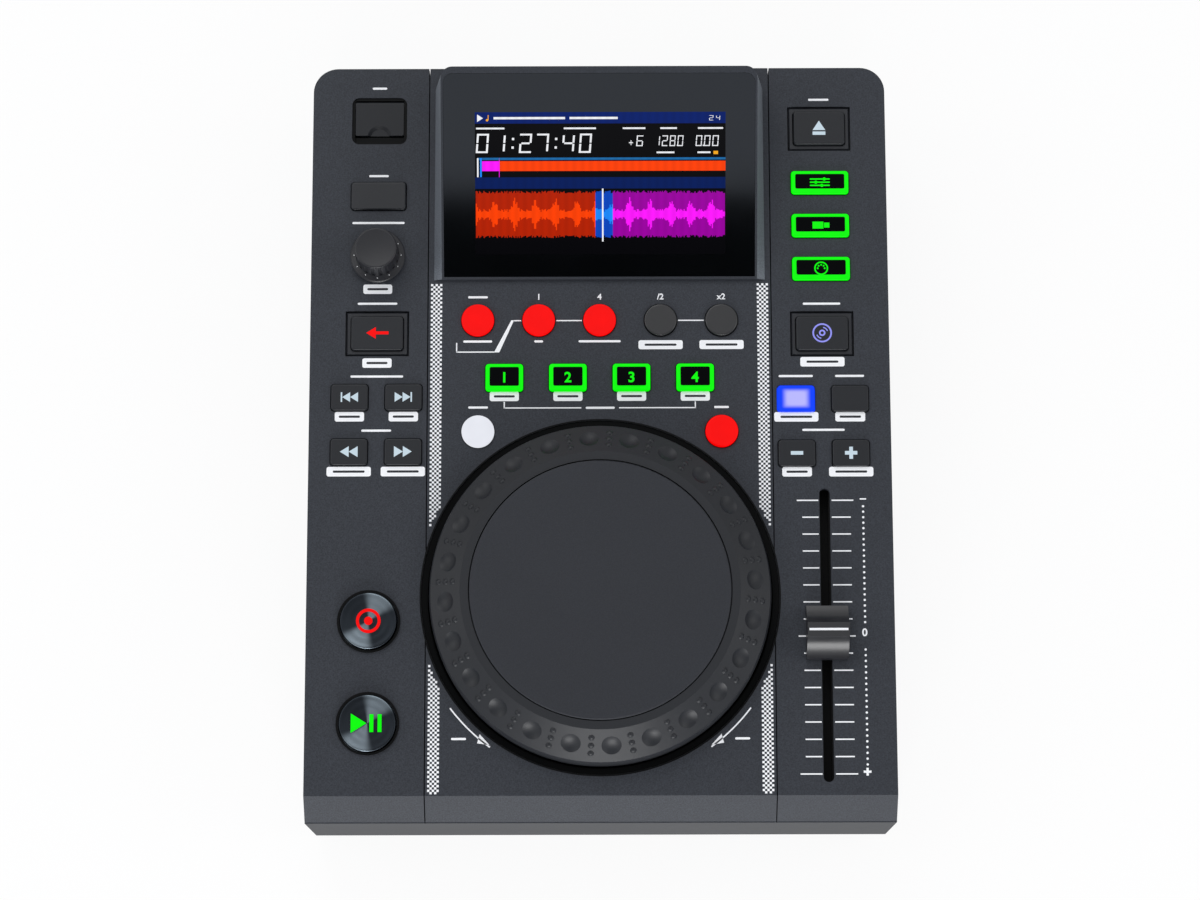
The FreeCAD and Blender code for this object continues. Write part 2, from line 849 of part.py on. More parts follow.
def standoff_places():
    """Corners of the main board where it is carried."""
    half = main_board_width / 2 - standoff_radius - 1
    rear = main_board_rear() - standoff_radius - 1
    front = main_board_rear() - main_board_depth + standoff_radius + 1
    return [(side * half, y) for side in (-1, 1) for y in (front, rear)]


def main_board_rear():
    """Rear edge of the main board, just inside the bay."""
    return rear_y - bay_depth - bay_wall - 0.5


def foot_places():
    """Middles of the four feet."""
    x = half_width - foot_inset
    return [(side * x, y) for side in (-1, 1) for y in (front_y + foot_inset, rear_y - foot_inset)]


def socket_windows():
    """Holes through the bay's back plate for the sockets and the power switch."""
    y0 = rear_y - bay_depth - bay_wall - 1
    y1 = rear_y - bay_depth + 1
    fit = socket_fit
    holes = [rear_rod(x, jack_z(), y0, y1, jack_radius + fit) for x in jack_places()]
    holes.append(plan_block(usb_b_x - usb_b_width / 2 - fit, usb_b_x + usb_b_width / 2 + fit, y0, y1,
                            main_board_top - fit, main_board_top + usb_b_height + fit))
    holes.append(plan_block(dc_x - dc_width / 2 - fit, dc_x + dc_width / 2 + fit, y0, y1,
                            main_board_top - fit, main_board_top + dc_height + fit))
    holes.append(plan_block(power_x - switch_width / 2 - fit, power_x + switch_width / 2 + fit, y0, y1,
                            power_z() - switch_height / 2 - fit, power_z() + switch_height / 2 + fit))
    return holes


def jack_places():
    """Middles of the two line output jacks."""
    return (jack_x, jack_x + jack_pitch)


def jack_z():
    """Height of the line output jacks' axes."""
    return main_board_top + jack_height


def power_z():
    """Height of the power switch's middle."""
    return bay_z + bay_height / 2


def base_tray():
    """Lower case: walls, posts, vents, foot recesses and the rear bay."""
    body = tray_shell().fuse(tray_posts())
    seat_z = cover_z - post_web
    cuts = [rod(x, y, foot_height - 1, seat_z, screw_head_radius + screw_head_fit)
            for x, y in screw_places]
    cuts += [rod(x, y, seat_z - 1, cover_z + 1, screw_radius + screw_fit) for x, y in screw_places]
    cuts += [rod(x, y, foot_height - 1, foot_height + foot_seat, foot_top_radius) for x, y in foot_places()]
    for column in (-vent_column, vent_column):
        for row in range(vent_rows):
            y = jog_y + well_radius + (row - (vent_rows - 1) / 2) * vent_pitch - vent_setback
            cuts.append(centred_block(column, y, vent_length, vent_width, foot_height - 1, floor_z + 1,
                                      vent_width / 2 - 0.01))
    return body.cut(cuts + socket_windows()).removeSplitter()


def rubber_feet():
    """Four feet, each with a shoulder that seats in the floor."""
    feet = []
    for x, y in foot_places():
        feet.append(turned([
            (0, 0),
            (foot_top_radius - foot_edge, 0),
            (foot_radius, 2 * foot_edge),
            (foot_radius, foot_height),
            (foot_top_radius, foot_height),
            (foot_top_radius, foot_height + foot_seat),
            (0, foot_height + foot_seat),
        ], x, y))
    return Part.makeCompound(feet)


def case_screws():
    """Screws that come up through the tray's posts into the covers' bosses."""
    seat_z = cover_z - post_web
    screws = []
    for x, y in screw_places:
        screws.append(turned([
            (0, seat_z - screw_head_height),
            (screw_head_radius - screw_head_edge, seat_z - screw_head_height),
            (screw_head_radius, seat_z - screw_head_height / 2),
            (screw_head_radius, seat_z),
            (screw_radius, seat_z),
            (screw_radius, cover_z + screw_reach),
            (0, cover_z + screw_reach),
        ], x, y))
    return Part.makeCompound(screws)


def key_boards():
    """Left, right and centre key boards, and the small board below the USB socket."""
    margin = cover_wall + board_clearance
    x0 = seam_x + 1.0
    x1 = half_width - margin
    front = front_y + front_bevel_run
    well = rod(0, jog_y, board_under - 1, board_top + 1, well_radius + board_edge_gap)
    holes = [rod(x, y, board_under - 1, board_top + 1, post_radius + board_hole_gap) for x, y in screw_places]
    left_rear = pocket_y - pocket_depth / 2 - pocket_flange - 1.0
    left = plan_block(-x1, -x0, front, left_rear, board_under, board_top)
    right = plan_block(x0, x1, front, eject_y + frame_depth / 2, board_under, board_top)
    centre = plan_block(-x0 + 2.0, x0 - 2.0, corner_y - 2 * round_key_radius, loop_y + 2 * round_key_radius,
                        board_under, board_top)
    boards = [board.cut([well] + holes) for board in (left, right, centre)]
    socket_z = usb_a_bottom()
    boards.append(centred_block(-cheek_x, pocket_y, usb_a_width + 2 * usb_a_board_margin,
                                usb_a_depth + 2 * usb_a_board_margin, socket_z - board_thickness, socket_z))
    return Part.makeCompound(boards)


def tact_switches():
    """One switch under each key, with its plunger up."""
    switches = []
    for key in list(rect_keys.values()) + list(round_keys.values()):
        body = centred_block(key.x, key.y, switch_size, switch_size, board_top,
                             board_top + switch_body_height)
        plunger = rod(key.x, key.y, board_top + switch_body_height, switch_top, switch_plunger_radius)
        switches.append(body.fuse(plunger))
    return Part.makeCompound(switches)


def main_board():
    """Main circuit board on the tray's standoffs, holed for the screw posts."""
    half = main_board_width / 2
    rear = main_board_rear()
    board = plan_block(-half, half, rear - main_board_depth, rear, main_board_top - board_thickness,
                       main_board_top)
    holes = [rod(x, y, floor_z, main_board_top + 1, post_radius + board_hole_gap) for x, y in screw_places]
    return board.cut(holes)


def pocket_bottom():
    """Underside of the pocket's floor."""
    return deck_z - pocket_rim_sink - pocket_height


def usb_a_bottom():
    """Underside of the upright socket, which hangs under the pocket's floor."""
    return pocket_bottom() + pocket_floor - usb_a_height


def flap_axis():
    """The flap's hinge line, as (y, z)."""
    y = pocket_y + pocket_depth / 2 - pocket_fit - pocket_wall - flap_rear_gap - flap_barrel_radius
    return y, deck_z - flap_sink - flap_barrel_radius


def usb_pocket():
    """Well for the USB socket: walls with the flap's pin holes, a finger sill, a floor and a flange."""
    width = pocket_width - 2 * pocket_fit
    depth = pocket_depth - 2 * pocket_fit
    bottom = pocket_bottom()
    top = deck_z - pocket_rim_sink
    shell = centred_block(-cheek_x, pocket_y, width, depth, bottom, top, pocket_corner - pocket_fit)
    flange = centred_block(-cheek_x, pocket_y, width + 2 * pocket_flange, depth + 2 * pocket_flange,
                           deck_under - pocket_floor, deck_under, pocket_corner)
    hollow = centred_block(-cheek_x, pocket_y, width - 2 * pocket_wall, depth - 2 * pocket_wall,
                           bottom + pocket_floor, top + 1, pocket_inner_corner)
    front = pocket_y - depth / 2 + pocket_wall
    sill_top = deck_z - sill_drop
    half = width / 2 - pocket_wall
    sill = side_prism([
        (front - 0.5, sill_top - 3.0),
        (front + sill_depth, sill_top - 3.0),
        (front + sill_depth, sill_top - 0.6),
        ((front + sill_depth - 0.2, sill_top - 0.2), (front + sill_depth - 0.6, sill_top)),
        (front - 0.5, sill_top),
    ], -cheek_x - half - 0.3, -cheek_x + half + 0.3)
    mouth = centred_block(-cheek_x, pocket_y, usb_a_width, usb_a_depth, bottom - 1, bottom + pocket_floor + 1)
    y, z = flap_axis()
    pins = cross_rod(y, z, -cheek_x - width / 2 - 1, -cheek_x + width / 2 + 1, flap_pin_radius + flap_pin_fit)
    outer = centred_block(-cheek_x, pocket_y, width, depth, bottom, top, pocket_corner - pocket_fit)
    body = shell.fuse(flange).cut(hollow).fuse(sill.common(outer))
    return body.cut([mouth, pins]).removeSplitter()


def usb_flap():
    """Dust flap: a plate with a finger scoop, a round hinge barrel and a stub pin at each end."""
    y, z = flap_axis()
    half = (pocket_width - 2 * pocket_fit - 2 * pocket_wall) / 2 - flap_side_gap
    top = deck_z - flap_sink
    front = pocket_y - pocket_depth / 2 + flap_front_gap
    plate = plan_block(-cheek_x - half, -cheek_x + half, front, y, top - flap_thickness, top, (0.6, 0.6, 0, 0))
    barrel = cross_rod(y, z, -cheek_x - half, -cheek_x + half, flap_barrel_radius)
    reach = half + flap_pin_length
    pins = cross_rod(y, z, -cheek_x - reach, -cheek_x + reach, flap_pin_radius)
    scoop = Part.makeCone(scoop_radius - 1.2, scoop_radius, scoop_depth,
                          Vector(-cheek_x, front - 0.6, top - scoop_depth))
    return plate.fuse([barrel, pins]).cut(scoop).removeSplitter()


def usb_a_socket():
    """Upright USB socket: a metal shell with its tongue."""
    bottom = usb_a_bottom()
    top = bottom + usb_a_height
    body = centred_block(-cheek_x, pocket_y, usb_a_width, usb_a_depth, bottom, top)
    mouth = centred_block(-cheek_x, pocket_y, usb_a_mouth_width, usb_a_mouth_depth,
                          bottom + usb_a_wall_floor, top + 1)
    tongue = centred_block(-cheek_x, pocket_y + (usb_a_mouth_depth - usb_a_tongue) / 2 - 0.6,
                           usb_a_mouth_width - 1.4, usb_a_tongue, bottom + usb_a_wall_floor - 0.5, top - 1.0)
    return body.cut(mouth).fuse(tongue).removeSplitter()


def browse_encoder():
    """Encoder: a square body on the left key board, with a bushing that comes up through the cover."""
    body = centred_block(-cheek_x, browse_y, encoder_size, encoder_size, board_top,
                         board_top + encoder_body_height)
    bushing = rod(-cheek_x, browse_y, board_top + encoder_body_height, deck_z + bushing_rise, bushing_radius)
    bore = rod(-cheek_x, browse_y, board_top + 1.5, deck_z + bushing_rise + 1, shaft_radius + shaft_fit)
    return body.fuse(bushing).cut(bore).removeSplitter()


def browse_shaft():
    """Encoder shaft, with the flat that drives the knob."""
    top = deck_z + shaft_rise
    shaft = rod(-cheek_x, browse_y, board_top + 1.7, top, shaft_radius)
    flat = plan_block(-cheek_x - shaft_radius, -cheek_x + shaft_radius, browse_y + shaft_radius / 2,
                      browse_y + 2 * shaft_radius, deck_z + bushing_rise + 0.8, top + 1)
    return shaft.cut(flat)


def browse_knob():
    """Browse knob: a skirt, a fluted barrel and a dished top, bored for the shaft."""
    low = deck_z + browse_gap_below
    top = low + browse_height
    skirt = low + browse_skirt_height
    rim = browse_cap_radius - browse_cap_edge
    steps = [
        (0, low),
        (browse_skirt_radius - browse_skirt_edge, low),
        (browse_skirt_radius, low + browse_skirt_edge),
        (browse_skirt_radius, skirt - browse_skirt_edge),
        (browse_skirt_radius - browse_skirt_edge, skirt),
        (browse_cap_radius + 0.3, skirt + 0.6),
        (browse_cap_radius, top - browse_cap_edge),
        ((browse_cap_radius - 0.2, top - 0.2), (rim, top)),
        dish_arc(rim, browse_dish, top),
    ]
    body = turned(steps, -cheek_x, browse_y)
    cuts = [rod(-cheek_x, browse_y, low - 1, low + knob_hollow_height, knob_hollow_radius)]
    bore = rod(-cheek_x, browse_y, low, deck_z + shaft_rise + browse_push + 0.2, shaft_radius + shaft_fit)
    key_flat = plan_block(-cheek_x - 2 * shaft_radius, -cheek_x + 2 * shaft_radius,
                          browse_y + shaft_radius / 2 + shaft_fit, browse_y + 2 * shaft_radius, low,
                          top)
    cuts.append(bore.cut(key_flat))
    for index in range(browse_flutes):
        angle = 2 * math.pi * index / browse_flutes
        reach = browse_cap_radius + browse_flute_radius * 0.6
        cuts.append(rod(-cheek_x + reach * math.cos(angle), browse_y + reach * math.sin(angle),
                        skirt + 0.9, top - 1.4, browse_flute_radius))
    return body.cut(cuts)


def fader_body():
    """Fader case on the right key board: a channel with end stops and a slotted top."""
    length = slot_length + 2 * fader_end_margin
    low = board_top
    top = low + fader_height
    body = centred_block(cheek_x, fader_y, fader_width, length, low, top)
    run = fader_travel + carriage_depth + 2 * lever_fit + 0.6
    cavity = centred_block(cheek_x, fader_y, carriage_width + 2 * fader_gap, run, low + fader_wall,
                           top - fader_wall)
    slot = centred_block(cheek_x, fader_y, lever_width + 2 * fader_gap,
                         fader_travel + lever_depth + 2 * slot_end_clearance, low + fader_wall, top + 1)
    return body.cut([cavity, slot])


def pitch_lever():
    """Fader lever on its carriage."""
    low = board_top + fader_wall + fader_gap
    carriage = centred_block(cheek_x, fader_y, carriage_width, carriage_depth, low, low + carriage_height)
    blade = centred_block(cheek_x, fader_y, lever_width, lever_depth, low, deck_z + lever_rise)
    return carriage.fuse(blade).removeSplitter()


def pitch_cap():
    """Fader cap: two hollowed flanks up to a ridge with a marking groove, socketed for the lever."""
    low = deck_z + cap_gap_below
    half = cap_depth / 2
    ridge = cap_ridge / 2
    shoulder = low + cap_shoulder
    top = low + cap_height
    mid_y = (half + ridge) / 2
    mid_z = (shoulder + top) / 2
    lean = math.hypot(half - ridge, top - shoulder)
    dip_y = cap_flank_dip * (top - shoulder) / lean
    dip_z = cap_flank_dip * (half - ridge) / lean
    line = cap_line_width / 2
    steps = [
        (fader_y - half, low),
        (fader_y + half, low),
        (fader_y + half, shoulder),
        ((fader_y + mid_y - dip_y, mid_z - dip_z), (fader_y + ridge, top)),
        (fader_y + line, top),
        (fader_y + line, top - cap_line_depth),
        (fader_y - line, top - cap_line_depth),
        (fader_y - line, top),
        (fader_y - ridge, top),
        ((fader_y - mid_y + dip_y, mid_z - dip_z), (fader_y - half, shoulder)),
    ]
    body = side_prism(steps, cheek_x - cap_width / 2, cheek_x + cap_width / 2)
    socket = centred_block(cheek_x, fader_y, lever_width + 2 * lever_fit, lever_depth + 2 * lever_fit,
                           low - 1, deck_z + lever_rise + lever_fit)
    return body.cut(socket)


def jog_well():
    """Well that the wheel turns in: a flat black ring, a wall, a flange under the covers and a floor."""
    outer = well_radius - well_fit
    ring_top = deck_z - well_ring_drop
    wall_outer = well_ring_inner + well_wall
    return turned([
        (outer, ring_top),
        (well_ring_inner, ring_top - well_ring_slope),
        (well_ring_inner, well_floor_top),
        (bearing_radius + spindle_fit, well_floor_top),
        (bearing_radius + spindle_fit, well_floor_under),
        (wall_outer, well_floor_under),
        (wall_outer, deck_under - well_flange_thickness),
        (well_radius + well_flange, deck_under - well_flange_thickness),
        (well_radius + well_flange, deck_under),
        (outer, deck_under),
    ], 0, jog_y)


def jog_bearing():
    """Flanged bush in the well's floor, up to the wheel's hub."""
    bore = spindle_radius + spindle_fit
    top = deck_z + jog_hub_height - rattle_gap
    return turned([
        (bore, well_floor_under - bearing_tail),
        (bearing_radius, well_floor_under - bearing_tail),
        (bearing_radius, well_floor_top),
        (bearing_flange_radius, well_floor_top),
        (bearing_flange_radius, well_floor_top + bearing_flange_height),
        (bearing_radius, well_floor_top + bearing_flange_height),
        (bearing_radius, top),
        (bore, top),
    ], 0, jog_y)


def jog_spindle():
    """Steel spindle fixed in the hub, held under the bush by its washer."""
    low = well_floor_under - bearing_tail - rattle_gap - washer_thickness
    return turned([
        (0, low),
        (washer_radius, low),
        (washer_radius, low + washer_thickness),
        (spindle_radius, low + washer_thickness),
        (spindle_radius, deck_z + plate_seat_height - rattle_gap),
        (0, deck_z + plate_seat_height - rattle_gap),
    ], 0, jog_y)


def jog_rim_blank():
    """The wheel before its grip is cut: skirt, sloping band, top ring, plate seat and hub."""
    slope = (jog_top_height - jog_band_height) / jog_band_width
    drop = jog_wall * math.sqrt(1 + slope * slope)
    web_under = plate_seat_height - jog_wall
    inner_wall = jog_radius - 2.0
    inner_edge = jog_band_height + slope * (jog_band_outer - inner_wall) - drop
    cone_foot = jog_band_outer - (web_under + drop - jog_band_height) / slope
    return turned([
        (spindle_radius, deck_z + jog_hub_height),
        (jog_hub_radius, deck_z + jog_hub_height),
        (jog_hub_radius, deck_z + web_under),
        (cone_foot, deck_z + web_under),
        (inner_wall, deck_z + inner_edge),
        (inner_wall, deck_z - jog_skirt_drop),
        (jog_radius, deck_z - jog_skirt_drop),
        (jog_radius, deck_z + jog_edge_height),
        (jog_band_outer, deck_z + jog_band_height),
        (jog_band_inner, deck_z + jog_top_height),
        (plate_seat_radius, deck_z + jog_top_height),
        (plate_seat_radius, deck_z + plate_seat_height),
        (spindle_radius, deck_z + plate_seat_height),
    ], 0, jog_y)


def band_point(along, out, angle):
    """Point on the wheel's sloping band: along it from its middle, and out of it, at an angle."""
    rise = jog_top_height - jog_band_height
    length = math.hypot(jog_band_width, rise)
    radial = jog_band_width / length
    upward = rise / length
    radius = (jog_band_inner + jog_band_outer) / 2 + along * radial + out * upward
    height = (jog_band_height + jog_top_height) / 2 - along * upward + out * radial
    return Vector(radius * math.cos(angle), jog_y + radius * math.sin(angle), deck_z + height)


def cap_sphere(radius, depth):
    """Radius of the ball whose cap has this radius and depth."""
    return (radius * radius + depth * depth) / (2 * depth)


def jog_rim():
    """Jog wheel: round dimples and rows of small bumps take turns round its sloping band."""
    pitch = 2 * math.pi / dimple_count
    start = math.radians(first_dimple_angle)
    dimple_ball = cap_sphere(dimple_radius, dimple_depth)
    bump_ball = cap_sphere(bump_radius, bump_height)
    dimples = []
    bumps = []
    for index in range(dimple_count):
        angle = start + index * pitch
        dimples.append(Part.makeSphere(dimple_ball, band_point(0, dimple_ball - dimple_depth, angle)))
        for row in range(bump_rows):
            along = (row - (bump_rows - 1) / 2) * bump_pitch
            place = band_point(along, bump_height - bump_ball, angle + pitch / 2)
            bumps.append(Part.makeSphere(bump_ball, place))
    ring = Part.makeCylinder(sensor_ring_radius, sensor_ring_height)
    ring = ring.cut(Part.makeCylinder(sensor_ring_radius - sensor_ring_wall, sensor_ring_height))
    slots = []
    for index in range(sensor_slots):
        slot = Part.makeBox(2 * sensor_ring_wall + 2, sensor_slot_width, sensor_ring_height - 1.5,
                            Vector(sensor_ring_radius - 2 * sensor_ring_wall, -sensor_slot_width / 2, 0))
        slot.rotate(Vector(0, 0, 0), Vector(0, 0, 1), 360.0 * index / sensor_slots)
        slots.append(slot)
    ring = ring.cut(slots)
    ring.translate(Vector(0, jog_y, deck_z + plate_seat_height - jog_wall - sensor_ring_height))
    return jog_rim_blank().cut(dimples).fuse(bumps + [ring]).removeSplitter()


def touch_plate():
    """Touch plate let into the top of the wheel."""
    low = deck_z + plate_seat_height
    top = low + plate_thickness
    soft = plate_edge * (1 - math.sqrt(0.5))
    return turned([
        (0, low),
        (plate_radius, low),
        (plate_radius, top - plate_edge),
        ((plate_radius - soft, top - soft), (plate_radius - plate_edge, top)),
        (0, top),
    ], 0, jog_y)


def pod_blank():
    """The pod's outer form: a ruled loft from its foot on the deck to its tilted face."""
    half = pod_width / 2
    foot = [
        Vector(-half, pod_front_y, deck_z),
        Vector(half, pod_front_y, deck_z),
        Vector(half, pod_rear_y, deck_z),
        Vector(-half, pod_rear_y, deck_z),
    ]
    radii = (0, 0, pod_corner + pod_draft / 2, pod_corner + pod_draft / 2)
    face_half = half - pod_draft
    face = [Vector(x, y, 0) for x, y in (
        (-face_half, 0), (face_half, 0), (face_half, pod_face_length), (-face_half, pod_face_length))]
    face_wire = on_pod_face(corner_wire(face, (0, 0, pod_corner, pod_corner)))
    return Part.makeLoft([corner_wire(foot, radii), face_wire], True, True)


def pod_hollow():
    """Space inside the pod, under its face plate and ahead of its back."""
    under = pod_face_thickness
    start = (under * math.cos(tilt) - pod_front_height) / math.sin(tilt)
    end = pod_face_length - 2 * pod_wall

    def below_face(along):
        return (pod_front_y + along * math.cos(tilt) + under * math.sin(tilt),
                deck_z + pod_front_height + along * math.sin(tilt) - under * math.cos(tilt))

    half = pod_width / 2 - pod_draft - pod_wall
    return side_prism([
        below_face(start - 1.0),
        below_face(end),
        (pod_rear_y - 1.5 * pod_wall, deck_z - 1.0),
        (below_face(start - 1.0)[0], deck_z - 1.0),
    ], -half, half)


def display_pod():
    """Screen housing: hollow, with a ledge for the lens and a window for the module."""
    half = pod_width / 2 - pod_draft - lens_side_rim
    rear = pod_face_length - lens_rear_rim
    corner = pod_corner - lens_side_rim
    seat = plan_block(-half, half, lens_front_rim, rear, -lens_thickness, 1, (0, 0, corner, corner))
    window = centred_block(0, module_centre, module_width + 2 * module_fit, module_length + 2 * module_fit,
                           -2 * pod_face_thickness, 1)
    return pod_blank().cut([pod_hollow(), on_pod_face(seat), on_pod_face(window)]).removeSplitter()


def display_lens():
    """Glossy lens plate, flush in the pod's face."""
    half = pod_width / 2 - pod_draft - lens_side_rim - lens_fit
    corner = pod_corner - lens_side_rim - lens_fit
    plate = plan_block(-half, half, lens_front_rim + lens_fit, pod_face_length - lens_rear_rim - lens_fit,
                       -lens_thickness, 0, (0, 0, corner, corner))
    return on_pod_face(plate)


def display_module():
    """Screen module bonded under the lens."""
    module = centred_block(0, module_centre, module_width, module_length, -lens_thickness - module_thickness,
                           -lens_thickness)
    return on_pod_face(module)


def line_jacks():
    """Two line output jacks: block, collar and barrel with its contact hole."""
    face = rear_y - bay_depth
    back = face - bay_wall
    jacks = []
    for x in jack_places():
        z = jack_z()
        block = plan_block(x - jack_body_width / 2, x + jack_body_width / 2, back - jack_body_depth,
                           back - socket_fit, main_board_top, main_board_top + jack_body_height)
        barrel = rear_rod(x, z, back - socket_fit - 1, face + jack_length, jack_radius)
        washer = rear_rod(x, z, face, face + jack_collar_thickness, jack_collar_radius)
        hole = rear_rod(x, z, face, face + jack_length + 1, jack_hole_radius)
        jacks.append(block.fuse([barrel, washer]).cut(hole))
    return Part.makeCompound(jacks)


def usb_b_socket():
    """Square USB socket with its chamfered mouth and tongue."""
    rear = rear_y - bay_depth + socket_proud
    x = usb_b_x
    z = main_board_top
    body = plan_block(x - usb_b_width / 2, x + usb_b_width / 2, rear - usb_b_depth, rear, z, z + usb_b_height)
    half = usb_b_mouth_width / 2
    low = z + (usb_b_height - usb_b_mouth_height) / 2
    high = low + usb_b_mouth_height
    mouth_face = outline([
        (x - half, low),
        (x + half, low),
        (x + half, high - usb_b_chamfer),
        (x + half - usb_b_chamfer, high),
        (x - half + usb_b_chamfer, high),
        (x - half, high - usb_b_chamfer),
    ], lambda p: Vector(p[0], rear - usb_b_mouth_depth, p[1]))
    mouth = mouth_face.extrude(Vector(0, usb_b_mouth_depth + 1, 0))
    middle = (low + high) / 2
    tongue = plan_block(x - usb_b_tongue_width / 2, x + usb_b_tongue_width / 2, rear - usb_b_mouth_depth - 0.5,
                        rear - 1.0, middle - usb_b_tongue_height / 2, middle + usb_b_tongue_height / 2)
    return body.cut(mouth).fuse(tongue).removeSplitter()


def dc_jack():
    """Power inlet: a block with a round mouth and its centre pin."""
    rear = rear_y - bay_depth + socket_proud
    body = plan_block(dc_x - dc_width / 2, dc_x + dc_width / 2, rear - dc_depth, rear, main_board_top,
                      main_board_top + dc_height)
    z = main_board_top + dc_height / 2
    mouth = rear_rod(dc_x, z, rear - dc_mouth_depth, rear + 1, dc_mouth_radius)
    pin = rear_rod(dc_x, z, rear - dc_mouth_depth - 0.5, rear - 0.6, dc_pin_radius)
    return body.cut(mouth).fuse(pin).removeSplitter()


def rocker_pivot_y():
    """Depth of the rocker's pivot behind the bay's back plate."""
    return rear_y - bay_depth - rocker_pivot_depth


def power_switch():
    """Power switch case with its bezel and the cavity that the rocker tilts in."""
    face = rear_y - bay_depth
    half_w = switch_width / 2
    half_h = switch_height / 2
    z = power_z()
    body = plan_block(power_x - half_w, power_x + half_w, face - switch_depth, face, z - half_h, z + half_h)
    bezel = plan_block(power_x - half_w - switch_bezel, power_x + half_w + switch_bezel, face,
                       face + switch_bezel_thickness, z - half_h - switch_bezel, z + half_h + switch_bezel)
    cavity_w = rocker_half_width + rocker_side_gap
    cavity_h = rocker_height / 2 + rocker_gap
    pivot = rocker_pivot_y()
    cavity = plan_block(power_x - cavity_w, power_x + cavity_w, pivot - 2 * rocker_tail,
                        face + switch_bezel_thickness + 1, z - cavity_h, z + cavity_h)
    pin_hole = rod(power_x, pivot, z - cavity_h - 0.9, z + cavity_h + 0.9, rocker_pin_radius + rocker_pin_fit)
    return body.fuse(bezel).cut([cavity, pin_hole]).removeSplitter()


def power_rocker():
    """Rocker of the power switch, tilted to one side, with a stub pin at each end of its pivot."""
    pivot = rocker_pivot_y()
    z = power_z()
    half = rocker_half_width
    body = plan_prism([
        (-half, rocker_face),
        ((0, rocker_valley), (half, rocker_face)),
        (half, rocker_tail),
        (rocker_tail, -rocker_tail * 0.8),
        (-rocker_tail, -rocker_tail * 0.8),
        (-half, rocker_tail),
    ], z - rocker_height / 2, z + rocker_height / 2)
    pins = rod(0, 0, z - rocker_height / 2 - rocker_gap - 0.8, z + rocker_height / 2 + rocker_gap + 0.8,
               rocker_pin_radius)
    rocker = body.fuse(pins).removeSplitter()
    rocker.rotate(Vector(0, 0, 0), Vector(0, 0, 1), -rocker_tilt)
    rocker.translate(Vector(power_x, pivot, 0))
    return rocker


pieces = {
    "left_cheek": left_cheek,
    "right_cheek": right_cheek,
    "centre_deck": centre_deck,
    "base_tray": base_tray,
    "rubber_feet": rubber_feet,
    "case_screws": case_screws,
    "key_bezels": key_bezels,
    "key_boards": key_boards,
    "tact_switches": tact_switches,
    "main_board": main_board,
    "display_pod": display_pod,
    "display_lens": display_lens,
    "display_module": display_module,
    "jog_well": jog_well,
    "jog_bearing": jog_bearing,
    "jog_spindle": jog_spindle,
    "jog_rim": jog_rim,
    "touch_plate": touch_plate,
    "usb_pocket": usb_pocket,
    "usb_a_socket": usb_a_socket,
    "usb_flap": usb_flap,
    "browse_encoder": browse_encoder,
    "browse_shaft": browse_shaft,
    "browse_knob": browse_knob,
    "fader_body": fader_body,
    "pitch_lever": pitch_lever,
    "pitch_cap": pitch_cap,
    "line_jacks": line_jacks,
    "usb_b_socket": usb_b_socket,
    "dc_jack": dc_jack,
    "power_switch": power_switch,
    "power_rocker": power_rocker,
}

os.makedirs("parts", exist_ok=True)
for name, make in pieces.items():
    make().exportStep("parts/%s.step" % name)
for name, key in rect_keys.items():
    rect_key(key).exportStep("parts/%s.step" % name)
for name, key in round_keys.items():
    dish = transport_dish if key.radius == transport_radius else 0.0
    round_key(key, dish).exportStep("parts/%s.step" % name)
print("%d pieces" % (len(pieces) + len(rect_keys) + len(round_keys)))
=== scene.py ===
import logging
import math
from dataclasses import dataclass
from enum import Enum

import bmesh
import bpy
from mathutils import Euler, Matrix, Vector


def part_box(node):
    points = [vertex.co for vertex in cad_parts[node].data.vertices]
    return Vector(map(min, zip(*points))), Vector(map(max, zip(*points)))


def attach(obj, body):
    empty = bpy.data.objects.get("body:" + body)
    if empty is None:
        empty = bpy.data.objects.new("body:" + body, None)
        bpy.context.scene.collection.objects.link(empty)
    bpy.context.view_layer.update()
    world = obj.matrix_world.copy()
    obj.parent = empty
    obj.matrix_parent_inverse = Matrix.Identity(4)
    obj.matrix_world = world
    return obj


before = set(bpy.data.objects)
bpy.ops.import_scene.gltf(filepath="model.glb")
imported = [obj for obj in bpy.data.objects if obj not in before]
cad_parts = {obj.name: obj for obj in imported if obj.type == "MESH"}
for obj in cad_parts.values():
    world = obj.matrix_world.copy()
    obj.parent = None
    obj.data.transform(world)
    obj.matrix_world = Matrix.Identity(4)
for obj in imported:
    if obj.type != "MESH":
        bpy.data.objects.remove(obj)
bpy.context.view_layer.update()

LOG = logging.getLogger("media_player")
MM = 0.001
CASE = "case"

Colour = tuple[float, float, float, float]
Point = tuple[float, float]
Point3 = tuple[float, float, float]
Outline = list[Point]
Sides = tuple[float, float, float, float]


# Small helpers for colours and nodes

def linear(hex_colour: str, share: float = 1.0) -> Colour:
    """Turn an sRGB hex colour into linear red, green, blue and alpha.

    Args:
        hex_colour: six hex digits after a hash mark.
        share: how much of its light is kept.

    Returns:
        The four linear values.
    """
    digits = hex_colour.lstrip("#")
    values = [int(digits[place:place + 2], 16) / 255 for place in (0, 2, 4)]
    bent = [v / 12.92 if v <= 0.04045 else ((v + 0.055) / 1.055) ** 2.4 for v in values]
    return bent[0] * share, bent[1] * share, bent[2] * share, 1.0


